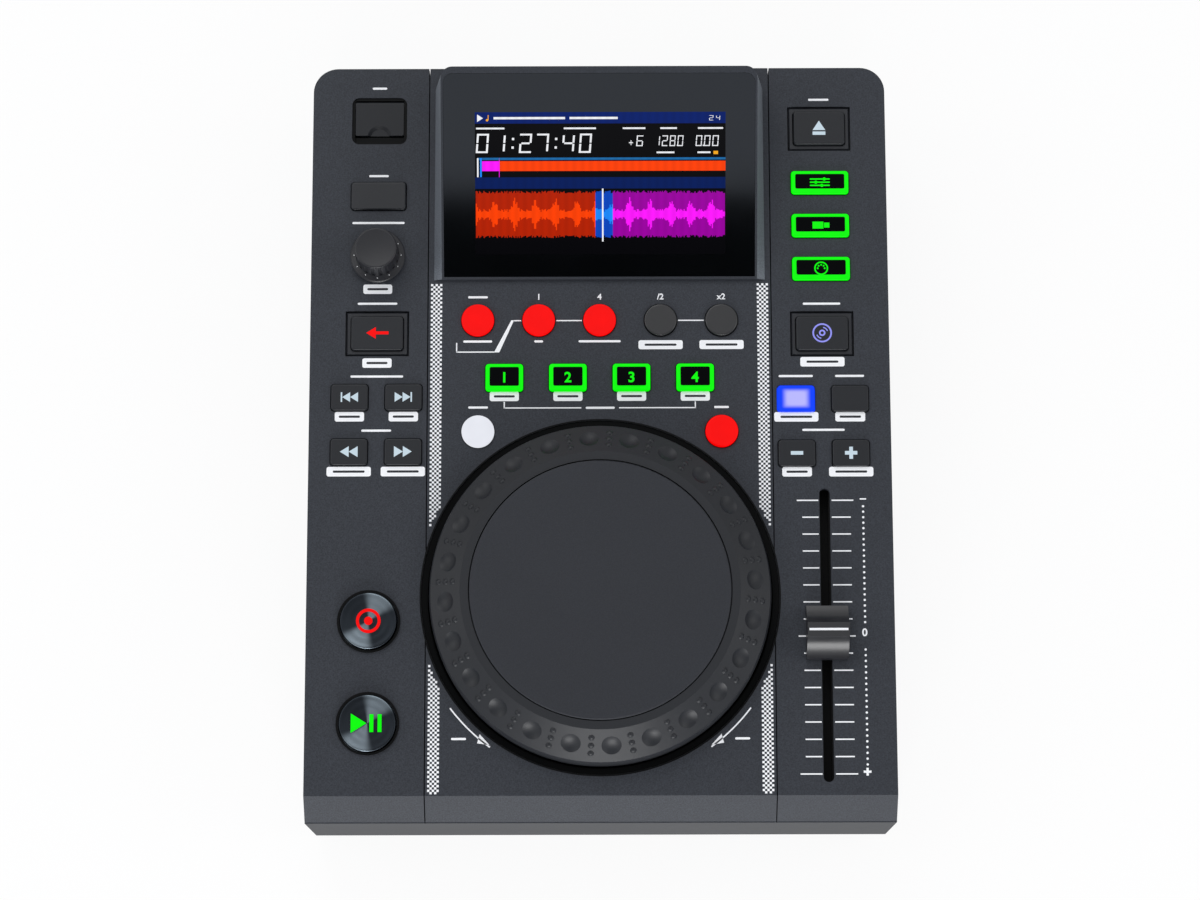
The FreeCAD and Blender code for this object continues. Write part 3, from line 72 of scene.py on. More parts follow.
def add_node(tree: bpy.types.NodeTree, kind: str, settings: dict | None = None,
             links: dict | None = None) -> bpy.types.Node:
    """Add a shader node with its settings and the links into it.

    Args:
        tree: the node tree that the node joins.
        kind: the node's type name, without its prefix ShaderNode.
        settings: property names and values, or input names or numbers and values.
        links: input names or numbers, each with the output socket that feeds it.

    Returns:
        The new node.
    """
    node = tree.nodes.new("ShaderNode" + kind)
    for name, value in (settings or {}).items():
        if hasattr(node, str(name)):
            setattr(node, name, value)
        else:
            node.inputs[name].default_value = value
    for name, source in (links or {}).items():
        tree.links.new(source, node.inputs[name])
    return node


def empty_material(name: str) -> tuple[bpy.types.Material, bpy.types.NodeTree]:
    """Make a material whose node tree is still empty.

    Args:
        name: the material's name.

    Returns:
        The material and its tree.
    """
    material = bpy.data.materials.new(name)
    material.use_nodes = True
    material.node_tree.nodes.clear()
    return material, material.node_tree


# Finishes, each named for what the real surface is

@dataclass(frozen=True)
class Finish:
    """A real surface. Each kind of surface builds its own shader."""

    name: str
    colour: str

    def shader(self, tree: bpy.types.NodeTree, place: bpy.types.Node) -> bpy.types.Node:
        """Build the shader.

        Args:
            tree: the material's node tree.
            place: texture coordinates; its Object output is in metres.

        Returns:
            The shader node.
        """
        raise NotImplementedError

    def material(self) -> bpy.types.Material:
        """Build the finish's material.

        Returns:
            The material.
        """
        material, tree = empty_material(self.name)
        shader = self.shader(tree, add_node(tree, "TexCoord"))
        add_node(tree, "OutputMaterial", links={"Surface": shader.outputs[0]})
        return material


@dataclass(frozen=True)
class MouldedPlastic(Finish):
    """ABS or a like plastic from a spark-eroded mould: a fine grain breaks up every highlight."""

    roughness: float = 0.5
    grain_mm: float = 0.45
    grain_bump: float = 0.12
    mottle: float = 0.06
    speckle: float = 0.08
    specular: float = 0.2
    flank_reflection_colour: str = ""
    flow_mm: float = 40.0

    def shader(self, tree: bpy.types.NodeTree, place: bpy.types.Node) -> bpy.types.Node:
        """Grain and flow marks, and a painted reflection on the flanks where a flank reflection colour
        is set.

        Args:
            tree: the material's node tree.
            place: texture coordinates; its Object output is in metres.

        Returns:
            The shader node.
        """
        # The grain of the mould is drawn at its own size, and shows as a soft sparkle
        grain = add_node(tree, "TexNoise",
                         {"Scale": 1 / (self.grain_mm * MM), "Detail": 3.0, "Roughness": 0.6},
                         {"Vector": place.outputs["Object"]})
        # Flow in the mould leaves a faint broad change of tone
        flow = add_node(tree, "TexNoise", {"Scale": 1 / (self.flow_mm * MM), "Detail": 2.0},
                        {"Vector": place.outputs["Object"]})
        tone = add_node(tree, "Mix",
                        {"data_type": "RGBA", 6: linear(self.colour, 1 - self.mottle),
                         7: linear(self.colour, 1 + self.mottle)}, {"Factor": flow.outputs["Fac"]})
        if self.flank_reflection_colour:
            # Painted reflection: the walls to the left and right are painted a lighter grey for the
            # light that they reflect, which frames the face
            facing = add_node(tree, "SeparateXYZ",
                              links={"Vector": place.outputs["Normal"]})
            sideways = add_node(tree, "Math", {"operation": "ABSOLUTE"},
                                {0: facing.outputs["X"]})
            reflecting_wall = add_node(tree, "MapRange", {"From Min": 0.3, "From Max": 0.5},
                            {"Value": sideways.outputs[0]})
            tone = add_node(tree, "Mix",
                            {"data_type": "RGBA", 7: linear(self.flank_reflection_colour)},
                            {"Factor": reflecting_wall.outputs["Result"], 6: tone.outputs[2]})
        # Each pit of the grain holds a little shadow
        pits = add_node(tree, "MapRange",
                        {"From Min": 0.35, "From Max": 0.65, "To Min": 1 - self.speckle,
                         "To Max": 1 + self.speckle}, {"Value": grain.outputs["Fac"]})
        dotted = add_node(tree, "VectorMath", {"operation": "SCALE"},
                          {0: tone.outputs[2], "Scale": pits.outputs["Result"]})
        rough = add_node(tree, "MapRange",
                         {"To Min": self.roughness - 0.06, "To Max": self.roughness + 0.06},
                         {"Value": grain.outputs["Fac"]})
        bump = add_node(tree, "Bump",
                        {"Strength": self.grain_bump, "Distance": self.grain_mm * MM * 0.2},
                        {"Height": grain.outputs["Fac"]})
        return add_node(tree, "BsdfPrincipled",
                        {"IOR": 1.53, "Specular IOR Level": self.specular},
                        {"Base Color": dotted.outputs["Vector"], "Roughness": rough.outputs["Result"],
                         "Normal": bump.outputs["Normal"]})


@dataclass(frozen=True)
class LitPlastic(Finish):
    """Translucent polycarbonate over a lamp: it glows evenly, with slow clouds of brightness."""

    glow: float = 1.0
    body: str = "#101010"
    cloud_mm: float = 6.0
    lit_above_mm: float = 65.05

    def shader(self, tree: bpy.types.NodeTree, place: bpy.types.Node) -> bpy.types.Node:
        """A glow above the deck, and none on the skirt below it.

        Args:
            tree: the material's node tree.
            place: texture coordinates; its Object output is in metres.

        Returns:
            The shader node.
        """
        # Light spreads unevenly in the plastic, seen as a slow change of brightness
        cloud = add_node(tree, "TexNoise",
                         {"Scale": 1 / (self.cloud_mm * MM), "Detail": 1.0},
                         {"Vector": place.outputs["Object"]})
        light = add_node(tree, "Mix",
                         {"data_type": "RGBA", 6: linear(self.colour, 0.88), 7: linear(self.colour)},
                         {"Factor": cloud.outputs["Fac"]})
        # Black paint on the skirt below the deck keeps the light in the cap
        parts = add_node(tree, "SeparateXYZ", links={"Vector": place.outputs["Object"]})
        above = add_node(tree, "Math",
                         {"operation": "GREATER_THAN", 1: self.lit_above_mm * MM},
                         {0: parts.outputs["Z"]})
        glow = add_node(tree, "Math", {"operation": "MULTIPLY", 1: self.glow},
                        {0: above.outputs[0]})
        return add_node(tree, "BsdfPrincipled",
                        {"Base Color": linear(self.body), "Roughness": 0.45, "IOR": 1.58,
                         "Specular IOR Level": 0.08},
                        {"Emission Color": light.outputs[2], "Emission Strength": glow.outputs[0]})


@dataclass(frozen=True)
class LitWindow(Finish):
    """Lamp-lit polycarbonate with a hazy window: its pale middle melts into a deeper border."""

    border_colour: str
    centre_mm: Point
    half_mm: Point
    window_share: float = 0.42
    melt_share: float = 0.4

    def shader(self, tree: bpy.types.NodeTree, place: bpy.types.Node) -> bpy.types.Node:
        """A pale middle that melts toward the key's nearest side.

        Args:
            tree: the material's node tree.
            place: texture coordinates; its Object output is in metres.

        Returns:
            The shader node.
        """
        # The share of the way from the key's middle to its nearest side
        shift = add_node(tree, "VectorMath",
                         {"operation": "SUBTRACT",
                          1: (self.centre_mm[0] * MM, self.centre_mm[1] * MM, 0)},
                         {0: place.outputs["Object"]})
        share = add_node(tree, "VectorMath",
                         {"operation": "DIVIDE", 1: (self.half_mm[0] * MM, self.half_mm[1] * MM, 1)},
                         {0: shift.outputs["Vector"]})
        size = add_node(tree, "VectorMath", {"operation": "ABSOLUTE"},
                        {0: share.outputs["Vector"]})
        parts = add_node(tree, "SeparateXYZ", links={"Vector": size.outputs["Vector"]})
        reach = add_node(tree, "Math", {"operation": "SMOOTH_MAX", 2: 0.3},
                         {0: parts.outputs["X"], 1: parts.outputs["Y"]})
        melt = add_node(tree, "MapRange",
                        {"interpolation_type": "SMOOTHSTEP", "From Min": self.window_share,
                         "From Max": self.window_share + self.melt_share},
                        {"Value": reach.outputs["Value"]})
        light = add_node(tree, "Mix",
                         {"data_type": "RGBA", 6: linear(self.colour), 7: linear(self.border_colour)},
                         {"Factor": melt.outputs["Result"]})
        return add_node(tree, "BsdfPrincipled",
                        {"Base Color": linear("#050510"), "Roughness": 0.45, "IOR": 1.58,
                         "Specular IOR Level": 0.08, "Emission Strength": 1.0},
                        {"Emission Color": light.outputs[2]})


@dataclass(frozen=True)
class PrintInk(Finish):
    """Screen-printed ink: flat and matt, with slight specks where the ink is thin."""

    roughness: float = 0.6
    speck_mm: float = 0.5

    def shader(self, tree: bpy.types.NodeTree, place: bpy.types.Node) -> bpy.types.Node:
        """Flat colour with thin specks.

        Args:
            tree: the material's node tree.
            place: texture coordinates; its Object output is in metres.

        Returns:
            The shader node.
        """
        speck = add_node(tree, "TexNoise",
                         {"Scale": 1 / (self.speck_mm * MM), "Detail": 2.0},
                         {"Vector": place.outputs["Object"]})
        tone = add_node(tree, "Mix",
                        {"data_type": "RGBA", 6: linear(self.colour, 0.92), 7: linear(self.colour)},
                        {"Factor": speck.outputs["Fac"]})
        return add_node(tree, "BsdfPrincipled",
                        {"Roughness": self.roughness, "IOR": 1.5, "Specular IOR Level": 0.3},
                        {"Base Color": tone.outputs[2]})


@dataclass(frozen=True)
class ScreenLight(Finish):
    """One colour of a lit liquid-crystal screen: its pixel rows show as a faint weave."""

    pixel_mm: float = 0.5

    def shader(self, tree: bpy.types.NodeTree, place: bpy.types.Node) -> bpy.types.Node:
        """Glow with faint rows.

        Args:
            tree: the material's node tree.
            place: texture coordinates; its Object output is in metres.

        Returns:
            The shader node.
        """
        # Pixel rows are about 0.2 mm apart; they are drawn coarser so that they show
        rows = add_node(tree, "TexWave",
                        {"bands_direction": "X", "Scale": 1 / (self.pixel_mm * MM * 20),
                         "Distortion": 0.0}, {"Vector": place.outputs["Object"]})
        light = add_node(tree, "Mix",
                         {"data_type": "RGBA", 6: linear(self.colour, 0.9), 7: linear(self.colour)},
                         {"Factor": rows.outputs["Fac"]})
        return add_node(tree, "BsdfPrincipled",
                        {"Base Color": linear("#050506"), "Roughness": 0.12, "IOR": 1.5,
                         "Specular IOR Level": 0.06, "Emission Strength": 1.0},
                        {"Emission Color": light.outputs[2]})


@dataclass(frozen=True)
class PolishedAcrylic(Finish):
    """Cast acrylic over a black mask: deep black, one clean reflection and a trace of dust."""

    roughness: float = 0.06
    specular: float = 0.1
    reflection: str = "#e4eeff"
    dust_mm: float = 25.0

    def shader(self, tree: bpy.types.NodeTree, place: bpy.types.Node) -> bpy.types.Node:
        """Mirror-like black with dust that dulls it in places.

        Args:
            tree: the material's node tree.
            place: texture coordinates; its Object output is in metres.

        Returns:
            The shader node.
        """
        dust = add_node(tree, "TexNoise", {"Scale": 1 / (self.dust_mm * MM), "Detail": 6.0},
                        {"Vector": place.outputs["Object"]})
        rough = add_node(tree, "MapRange",
                         {"To Min": self.roughness, "To Max": self.roughness + 0.05},
                         {"Value": dust.outputs["Fac"]})
        return add_node(tree, "BsdfPrincipled",
                        {"Base Color": linear(self.colour), "IOR": 1.49,
                         "Specular IOR Level": self.specular,
                         "Specular Tint": linear(self.reflection)},
                        {"Roughness": rough.outputs["Result"]})


@dataclass(frozen=True)
class TurnedMetal(Finish):
    """Metal turned on a lathe: rings round its axis stretch each highlight across them."""

    centre_mm: Point = (0.0, 0.0)
    ring_mm: float = 0.35
    roughness: float = 0.34
    painted_sheen_colour: str = "#6a747c"
    painted_sheen_deg: float = 62.0

    def shader(self, tree: bpy.types.NodeTree, place: bpy.types.Node) -> bpy.types.Node:
        """Fine rings, with two opposite rays of painted highlight.

        Args:
            tree: the material's node tree.
            place: texture coordinates; its Object output is in metres.

        Returns:
            The shader node.
        """
        shift = add_node(tree, "Mapping",
                         {"Location": (-self.centre_mm[0] * MM, -self.centre_mm[1] * MM, 0)},
                         {"Vector": place.outputs["Object"]})
        rings = add_node(tree, "TexWave",
                         {"wave_type": "RINGS", "rings_direction": "Z", "Distortion": 0.6,
                          "Scale": 1 / (self.ring_mm * MM * 20), "Detail": 2.0},
                         {"Vector": shift.outputs["Vector"]})
        turn = add_node(tree, "Tangent", {"direction_type": "RADIAL", "axis": "Z"})
        # Painted highlight: two opposite rays of a lighter colour, drawn by the angle round the axis,
        # stand in for the light that the rings gather
        angle = add_node(tree, "TexGradient", {"gradient_type": "RADIAL"},
                         {"Vector": shift.outputs["Vector"]})
        twice = add_node(tree, "Math",
                         {"operation": "MULTIPLY_ADD", 1: 4 * math.pi,
                          2: -2 * math.radians(self.painted_sheen_deg)}, {0: angle.outputs["Fac"]})
        wave = add_node(tree, "Math", {"operation": "COSINE"}, {0: twice.outputs[0]})
        ray = add_node(tree, "MapRange",
                       {"interpolation_type": "SMOOTHERSTEP", "From Min": 0.0, "From Max": 1.0},
                       {"Value": wave.outputs[0]})
        tint = add_node(tree, "Mix",
                        {"data_type": "RGBA", 6: linear(self.colour), 7: linear(self.painted_sheen_colour)},
                        {"Factor": ray.outputs["Result"]})
        bump = add_node(tree, "Bump", {"Strength": 0.35, "Distance": self.ring_mm * MM * 0.3},
                        {"Height": rings.outputs["Fac"]})
        return add_node(tree, "BsdfPrincipled",
                        {"Metallic": 1.0, "Roughness": self.roughness, "Anisotropic": 0.75},
                        {"Base Color": tint.outputs[2], "Normal": bump.outputs["Normal"],
                         "Tangent": turn.outputs["Tangent"]})


@dataclass(frozen=True)
class PlatedSteel(Finish):
    """Steel with a bright plating: fairly smooth, with faint drawing lines."""

    roughness: float = 0.3
    line_mm: float = 1.2

    def shader(self, tree: bpy.types.NodeTree, place: bpy.types.Node) -> bpy.types.Node:
        """Bright metal with drawn lines.

        Args:
            tree: the material's node tree.
            place: texture coordinates; its Object output is in metres.

        Returns:
            The shader node.
        """
        stretch = add_node(tree, "Mapping", {"Scale": (1, 1, 12)},
                           {"Vector": place.outputs["Object"]})
        lines = add_node(tree, "TexNoise", {"Scale": 1 / (self.line_mm * MM), "Detail": 3.0},
                         {"Vector": stretch.outputs["Vector"]})
        rough = add_node(tree, "MapRange",
                         {"To Min": self.roughness - 0.08, "To Max": self.roughness + 0.1},
                         {"Value": lines.outputs["Fac"]})
        return add_node(tree, "BsdfPrincipled",
                        {"Base Color": linear(self.colour), "Metallic": 1.0},
                        {"Roughness": rough.outputs["Result"]})


@dataclass(frozen=True)
class CircuitLaminate(Finish):
    """Glass-filled laminate under green solder resist: a glossy film over a fine weave."""

    weave_mm: float = 0.6

    def shader(self, tree: bpy.types.NodeTree, place: bpy.types.Node) -> bpy.types.Node:
        """Green weave under a clear coat.

        Args:
            tree: the material's node tree.
            place: texture coordinates; its Object output is in metres.

        Returns:
            The shader node.
        """
        weave = add_node(tree, "TexChecker",
                         {"Scale": 1 / (self.weave_mm * MM), "Color1": linear(self.colour),
                          "Color2": linear(self.colour, 1.2)}, {"Vector": place.outputs["Object"]})
        return add_node(tree, "BsdfPrincipled",
                        {"Roughness": 0.3, "IOR": 1.5, "Coat Weight": 0.4, "Coat Roughness": 0.15},
                        {"Base Color": weave.outputs["Color"]})


# Grained shell: soft broad light, with the grain seen as a fine sparkle
DECK = MouldedPlastic("Abs_deck_grained_charcoal", "#2f3238", roughness=0.6, speckle=0.3)
# The pod's flanks carry a painted reflection in a lighter grey
POD = MouldedPlastic("Abs_pod_grained_charcoal", "#2c2f35", roughness=0.55, speckle=0.25,
                     flank_reflection_colour="#646970")
TRAY = MouldedPlastic("Abs_tray_grained_black", "#24262a", roughness=0.6, grain_mm=0.6,
                      speckle=0.25)
# Smoother mouldings: darker, with a narrow sheen along each rounded edge
WELL = MouldedPlastic("Abs_well_black", "#060708", roughness=0.6, grain_bump=0.05, specular=0.08)
RIM = MouldedPlastic("Abs_wheel_soft_black", "#1f2125", roughness=0.45, grain_bump=0.06,
                     specular=0.22)
PLATE = MouldedPlastic("Polycarbonate_plate_matt", "#292b30", roughness=0.62, grain_mm=0.4,
                       speckle=0.16)
KEY = MouldedPlastic("Abs_key_satin_black", "#1d1f23", roughness=0.4, grain_bump=0.05)
ROUND_KEY = MouldedPlastic("Abs_round_key_satin_black", "#17181b", roughness=0.35,
                           grain_bump=0.05, specular=0.4)
BEZEL = MouldedPlastic("Abs_bezel_satin_black", "#202227", roughness=0.42, grain_bump=0.05,
                       specular=0.25)
BACK_KEY = MouldedPlastic("Abs_back_key_charcoal", "#202226", roughness=0.36, grain_bump=0.05,
                          specular=0.22)
KNOB = MouldedPlastic("Abs_knob_soft_black", "#1e1f23", roughness=0.38, grain_bump=0.05,
                      specular=0.25)
FLAP = MouldedPlastic("Abs_flap_fine_black", "#191b1f", roughness=0.5, grain_bump=0.08)
FADER_CAP = MouldedPlastic("Abs_fader_cap_black", "#1b1c20", roughness=0.34, grain_bump=0.04,
                           specular=0.4)
# Pieces that are mostly out of sight: dull and even
INSIDE = MouldedPlastic("Nylon_inner_black", "#08080a", roughness=0.6, grain_bump=0.04,
                        specular=0.15)
FOOT = MouldedPlastic("Rubber_foot_moulded", "#0d0d0e", roughness=0.8, grain_mm=0.8,
                      grain_bump=0.2)
JACK_RING_WHITE = MouldedPlastic("Nylon_jack_ring_white", "#d8d8d4", roughness=0.45, speckle=0.02)
JACK_RING_RED = MouldedPlastic("Nylon_jack_ring_red", "#b01018", roughness=0.45, speckle=0.04)
# Clear plastics over black: the lens mirrors the room, the key inlays stay black
LENS = PolishedAcrylic("Acrylic_lens_black_mask", "#040506", roughness=0.05, specular=0.55)
INLAY = PolishedAcrylic("Polycarbonate_inlay_black", "#010101", roughness=0.3, specular=0.04)
# Inks: flat tone with crisp edges
WHITE_INK = PrintInk("Screen_print_white", "#fafbfd")
DARK_INK = PrintInk("Screen_print_charcoal", "#24262b")
# Lit plastics: the colour reads the same from every side
PALE_GLYPH = LitPlastic("Lit_glyph_pale", "#cfe2ee", glow=0.95)
GREEN_LIT = LitPlastic("Lit_polycarbonate_green", "#00ff00", body="#001c00")
RED_LIT = LitPlastic("Lit_polycarbonate_red", "#ff0000", body="#1c0000")
RED_GLYPH = LitPlastic("Lit_glyph_red", "#ff0000", body="#1c0000")
LAVENDER_LIT = LitPlastic("Lit_glyph_lavender", "#9a9cff", glow=0.95)
WHITE_LIT = LitPlastic("Lit_polycarbonate_white", "#eef0f8", glow=0.95, body="#303238")
# Metals: bright, narrow highlights
STEEL = PlatedSteel("Steel_nickel_plated", "#b9b9b4")
DARK_STEEL = PlatedSteel("Steel_zinc_black", "#3a3a3c", roughness=0.4)
# The brass carries two rays of painted highlight in a paler brass
BRASS = TurnedMetal("Brass_turned", "#b0894a", painted_sheen_colour="#d8b878")
# Boards: glossy green with a fine weave
BOARD = CircuitLaminate("Laminate_solder_resist_green", "#0c4a2a")
# Colours of the display
SCREEN_BLACK = ScreenLight("Screen_black", "#020204")
SCREEN_NAVY = ScreenLight("Screen_navy", "#04206a")
SCREEN_DEEP = ScreenLight("Screen_deep_navy", "#021c5a")
SCREEN_WHITE = ScreenLight("Screen_white", "#f4f6fa")
SCREEN_ORANGE = ScreenLight("Screen_orange", "#ff4200")
SCREEN_DARK_ORANGE = ScreenLight("Screen_dark_orange", "#b42200")
SCREEN_MAGENTA = ScreenLight("Screen_magenta", "#ff18ff")
SCREEN_DARK_MAGENTA = ScreenLight("Screen_dark_magenta", "#9a00a0")
SCREEN_BLUE = ScreenLight("Screen_blue", "#1c8cff")
SCREEN_DARK_BLUE = ScreenLight("Screen_dark_blue", "#0a48c0")
SCREEN_TEAL = ScreenLight("Screen_teal", "#1c6aa8")
SCREEN_AMBER = ScreenLight("Screen_amber", "#ffb020")

_made: dict[str, bpy.types.Material] = {}


def dress(thing: bpy.types.Object, finish: Finish) -> None:
    """Give an object one finish all over.

    Args:
        thing: the object.
        finish: its finish.
    """
    if finish.name not in _made:
        _made[finish.name] = finish.material()
    material = _made[finish.name]
    if not thing.material_slots:
        thing.data.materials.append(material)
    for place in thing.material_slots:
        place.material = material


def corners(node: str) -> tuple[Vector, Vector]:
    """Lowest and highest corner of a node in millimetres.

    Args:
        node: the node's name.

    Returns:
        The two corners.
    """
    low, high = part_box(node)
    return Vector(low) / MM, Vector(high) / MM


def middle(node: str) -> Vector:
    """Middle of a node's top in millimetres.

    Args:
        node: the node's name.

    Returns:
        The point, at the height of the node's top.
    """
    low, high = corners(node)
    return Vector(((low.x + high.x) / 2, (low.y + high.y) / 2, high.z))


DECK_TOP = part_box("centre_deck")[1][2] / MM


# Outlines in millimetres

def rounded(x: float, y: float, width: float, depth: float, radius: float,
            steps: int = 5) -> Outline:
    """Outline of a rectangle with round corners.

    Args:
        x: middle, across.
        y: middle, along.
        width: size across.
        depth: size along.
        radius: corner radius.
        steps: pieces in each corner's arc.

    Returns:
        The outline's points.
    """
    points: Outline = []
    for turn, (sx, sy) in enumerate(((1, 1), (-1, 1), (-1, -1), (1, -1))):
        cx = x + sx * (width / 2 - radius)
        cy = y + sy * (depth / 2 - radius)
        for step in range(steps + 1):
            angle = math.pi / 2 * (turn + step / steps)
            points.append((cx + radius * math.cos(angle), cy + radius * math.sin(angle)))
    return points


def bar(x0: float, y0: float, x1: float, y1: float) -> Outline:
    """Outline of a plain rectangle between two corners.

    Args:
        x0: left side.
        y0: front side.
        x1: right side.
        y1: rear side.

    Returns:
        The outline's points.
    """
    return [(x0, y0), (x1, y0), (x1, y1), (x0, y1)]


def disc(x: float, y: float, radius: float, steps: int) -> Outline:
    """Outline of a disc.

    Args:
        x: middle, across.
        y: middle, along.
        radius: the disc's radius.
        steps: sides of the outline.

    Returns:
        The outline's points.
    """
    turns = [2 * math.pi * step / steps for step in range(steps)]
    return [(x + radius * math.cos(turn), y + radius * math.sin(turn)) for turn in turns]


def arc_band(x: float, y: float, outer: float, inner: float, start: float = 0.0,
             end: float = 360.0, steps: int = 40) -> list[Outline]:
    """A ring or part of one, as a row of small four-sided outlines.

    Args:
        x: middle, across.
        y: middle, along.
        outer: outer radius.
        inner: inner radius.
        start: first angle in degrees.
        end: last angle in degrees.
        steps: pieces in the band.

    Returns:
        The outlines.
    """
    turns = [math.radians(start + (end - start) * step / steps) for step in range(steps + 1)]
    return [[(x + radius * math.cos(turn), y + radius * math.sin(turn))
             for radius, turn in ((inner, a), (outer, a), (outer, b), (inner, b))]
            for a, b in zip(turns, turns[1:])]


def stroke(a: Point, b: Point, width: float) -> Outline:
    """Outline of a straight line of some width.

    Args:
        a: first end.
        b: second end.
        width: the line's width.

    Returns:
        The outline's points.
    """
    start = Vector(a)
    end = Vector(b)
    along = (end - start).normalized()
    side = Vector((-along.y, along.x)) * width / 2
    return [tuple(start - side), tuple(end - side), tuple(end + side), tuple(start + side)]


class Glyph(Enum):
    """Plain transport and setting symbols, drawn by name."""

    PLAY = "play"
    PAUSE = "pause"
    TO_START = "to start"
    TO_END = "to end"
    BACKWARD = "backward"
    FORWARD = "forward"
    EJECT = "eject"
    MINUS = "minus"
    PLUS = "plus"
    SLIDERS = "sliders"
    PLUG = "plug"
    FIVE_PIN = "five pin"
    DISC = "disc"
    REVERSE = "reverse"
    RETURN = "return"


def arrowhead(x: float, size: float, direction: int) -> Outline:
    """Triangle that points left or right.

    Args:
        x: place of its flat side.
        size: its height; it is four fifths as long.
        direction: 1 for right, -1 for left.

    Returns:
        The outline's points.
    """
    return [(x, -size / 2), (x + direction * size * 0.8, 0.0), (x, size / 2)]


def glyph_outlines(glyph: Glyph, size: float) -> list[Outline]:
    """Outlines of a symbol about the origin.

    Args:
        glyph: which symbol.
        size: its height in millimetres.

    Returns:
        The outlines in millimetres.
    """
    s = size
    thick = s * 0.15
    run = s * 0.8
    row = s * 0.33
    pins = [math.radians(angle) for angle in (0, 45, 90, 135, 180)]
    shapes: dict[Glyph, list[Outline]] = {
        Glyph.PLAY: [arrowhead(-run / 2, s, 1)],
        Glyph.PAUSE: [bar(-s * 0.34, -s / 2, -s * 0.12, s / 2), bar(s * 0.12, -s / 2, s * 0.34, s / 2)],
        Glyph.BACKWARD: [arrowhead(0, s, -1), arrowhead(run, s, -1)],
        Glyph.FORWARD: [arrowhead(-run, s, 1), arrowhead(0, s, 1)],
        Glyph.TO_START: [arrowhead(thick / 2, s, -1), arrowhead(run + thick / 2, s, -1),
                         bar(-run - thick / 2, -s / 2, -run + thick / 2, s / 2)],
        Glyph.TO_END: [arrowhead(-run - thick / 2, s, 1), arrowhead(-thick / 2, s, 1),
                       bar(run - thick / 2, -s / 2, run + thick / 2, s / 2)],
        Glyph.EJECT: [[(-s * 0.435, -s * 0.165), (s * 0.435, -s * 0.165), (0, s * 0.5)],
                      bar(-s * 0.435, -s * 0.5, s * 0.435, -s * 0.265)],
        Glyph.MINUS: [bar(-s / 2, -thick, s / 2, thick)],
        Glyph.PLUS: [bar(-s / 2, -thick, s / 2, thick), bar(-thick, thick, thick, s / 2),
                     bar(-thick, -s / 2, thick, -thick)],
        Glyph.SLIDERS: [bar(-s, -s * 0.07 + y, s, s * 0.07 + y) for y in (-row, 0, row)]
                       + [disc(x * s, y, s * 0.17, 16)
                          for x, y in ((0.45, row), (-0.4, 0), (0.2, -row))],
        Glyph.PLUG: [bar(-s * 0.8, -s * 0.36, s * 0.3, s * 0.36),
                     bar(s * 0.36, -s * 0.26, s * 0.9, s * 0.26)],
        Glyph.FIVE_PIN: arc_band(0, 0, s * 0.55, s * 0.44)
                        + [disc(s * 0.28 * math.cos(pin), s * 0.28 * math.sin(pin), s * 0.075, 12)
                           for pin in pins],
        Glyph.DISC: arc_band(0, 0, s * 0.6, s * 0.5) + arc_band(0, 0, s * 0.2, s * 0.1)
                    + arc_band(0, 0, s * 0.38, s * 0.31, 20, 80, 10)
                    + arc_band(0, 0, s * 0.38, s * 0.31, 200, 260, 10),
        Glyph.REVERSE: [arrowhead(-s * 0.1, s, -1), bar(-s * 0.1, -s * 0.13, s * 0.95, s * 0.13)],
        Glyph.RETURN: arc_band(0, 0, s * 0.5, s * 0.38) + [disc(0, 0, s * 0.17, 24)],
    }
    return shapes[glyph]


def flat_object(work: bmesh.types.BMesh, name: str) -> bpy.types.Object:
    """Turn mesh work into a flat-shaded object in the scene.

    Args:
        work: the mesh in metres. It is used up.
        name: the object's name.

    Returns:
        The object.
    """
    mesh = bpy.data.meshes.new(name)
    work.to_mesh(mesh)
    work.free()
    for face in mesh.polygons:
        face.use_smooth = False
    thing = bpy.data.objects.new(name, mesh)
    bpy.context.scene.collection.objects.link(thing)
    return thing


def carry(work: bmesh.types.BMesh, name: str, finish: Finish, body: str) -> None:
    """Turn mesh work into an object with a finish, and let it ride a body.

    Args:
        work: the mesh in metres. It is used up.
        name: the object's name.
        finish: what it is made of.
        body: the body that carries it.
    """
    thing = flat_object(work, name)
    dress(thing, finish)
    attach(thing, body)


class Inlay:
    """Thin flat shapes that share a height, such as one colour of print or one lit symbol."""

    def __init__(self, low: float, high: float) -> None:
        """Start an empty inlay.

        Args:
            low: underside in millimetres.
            high: top in millimetres.
        """
        self.low = low
        self.high = high
        self.outlines: list[Outline] = []

    def add(self, outlines: list[Outline], x: float = 0.0, y: float = 0.0) -> None:
        """Add outlines, moved by x and y.

        Args:
            outlines: the shapes in millimetres.
            x: move across.
            y: move along.
        """
        for outline in outlines:
            self.outlines.append([(px + x, py + y) for px, py in outline])

    def build(self, name: str, finish: Finish, body: str = CASE,
              place: Matrix | None = None) -> None:
        """Make the inlay's object and let it ride a body.

        Args:
            name: the object's name.
            finish: what it is made of.
            body: the body that carries it.
            place: moves the shapes from the flat to where they belong, in metres.
        """
        work = bmesh.new()
        for outline in self.outlines:
            low = [work.verts.new((x * MM, y * MM, self.low * MM)) for x, y in outline]
            high = [work.verts.new((x * MM, y * MM, self.high * MM)) for x, y in outline]
            work.faces.new(high)
            work.faces.new(low[::-1])
            for index in range(len(outline)):
                ahead = (index + 1) % len(outline)
                work.faces.new((low[index], low[ahead], high[ahead], high[index]))
        bmesh.ops.recalc_face_normals(work, faces=work.faces)
        if place is not None:
            work.transform(place)
        carry(work, name, finish, body)


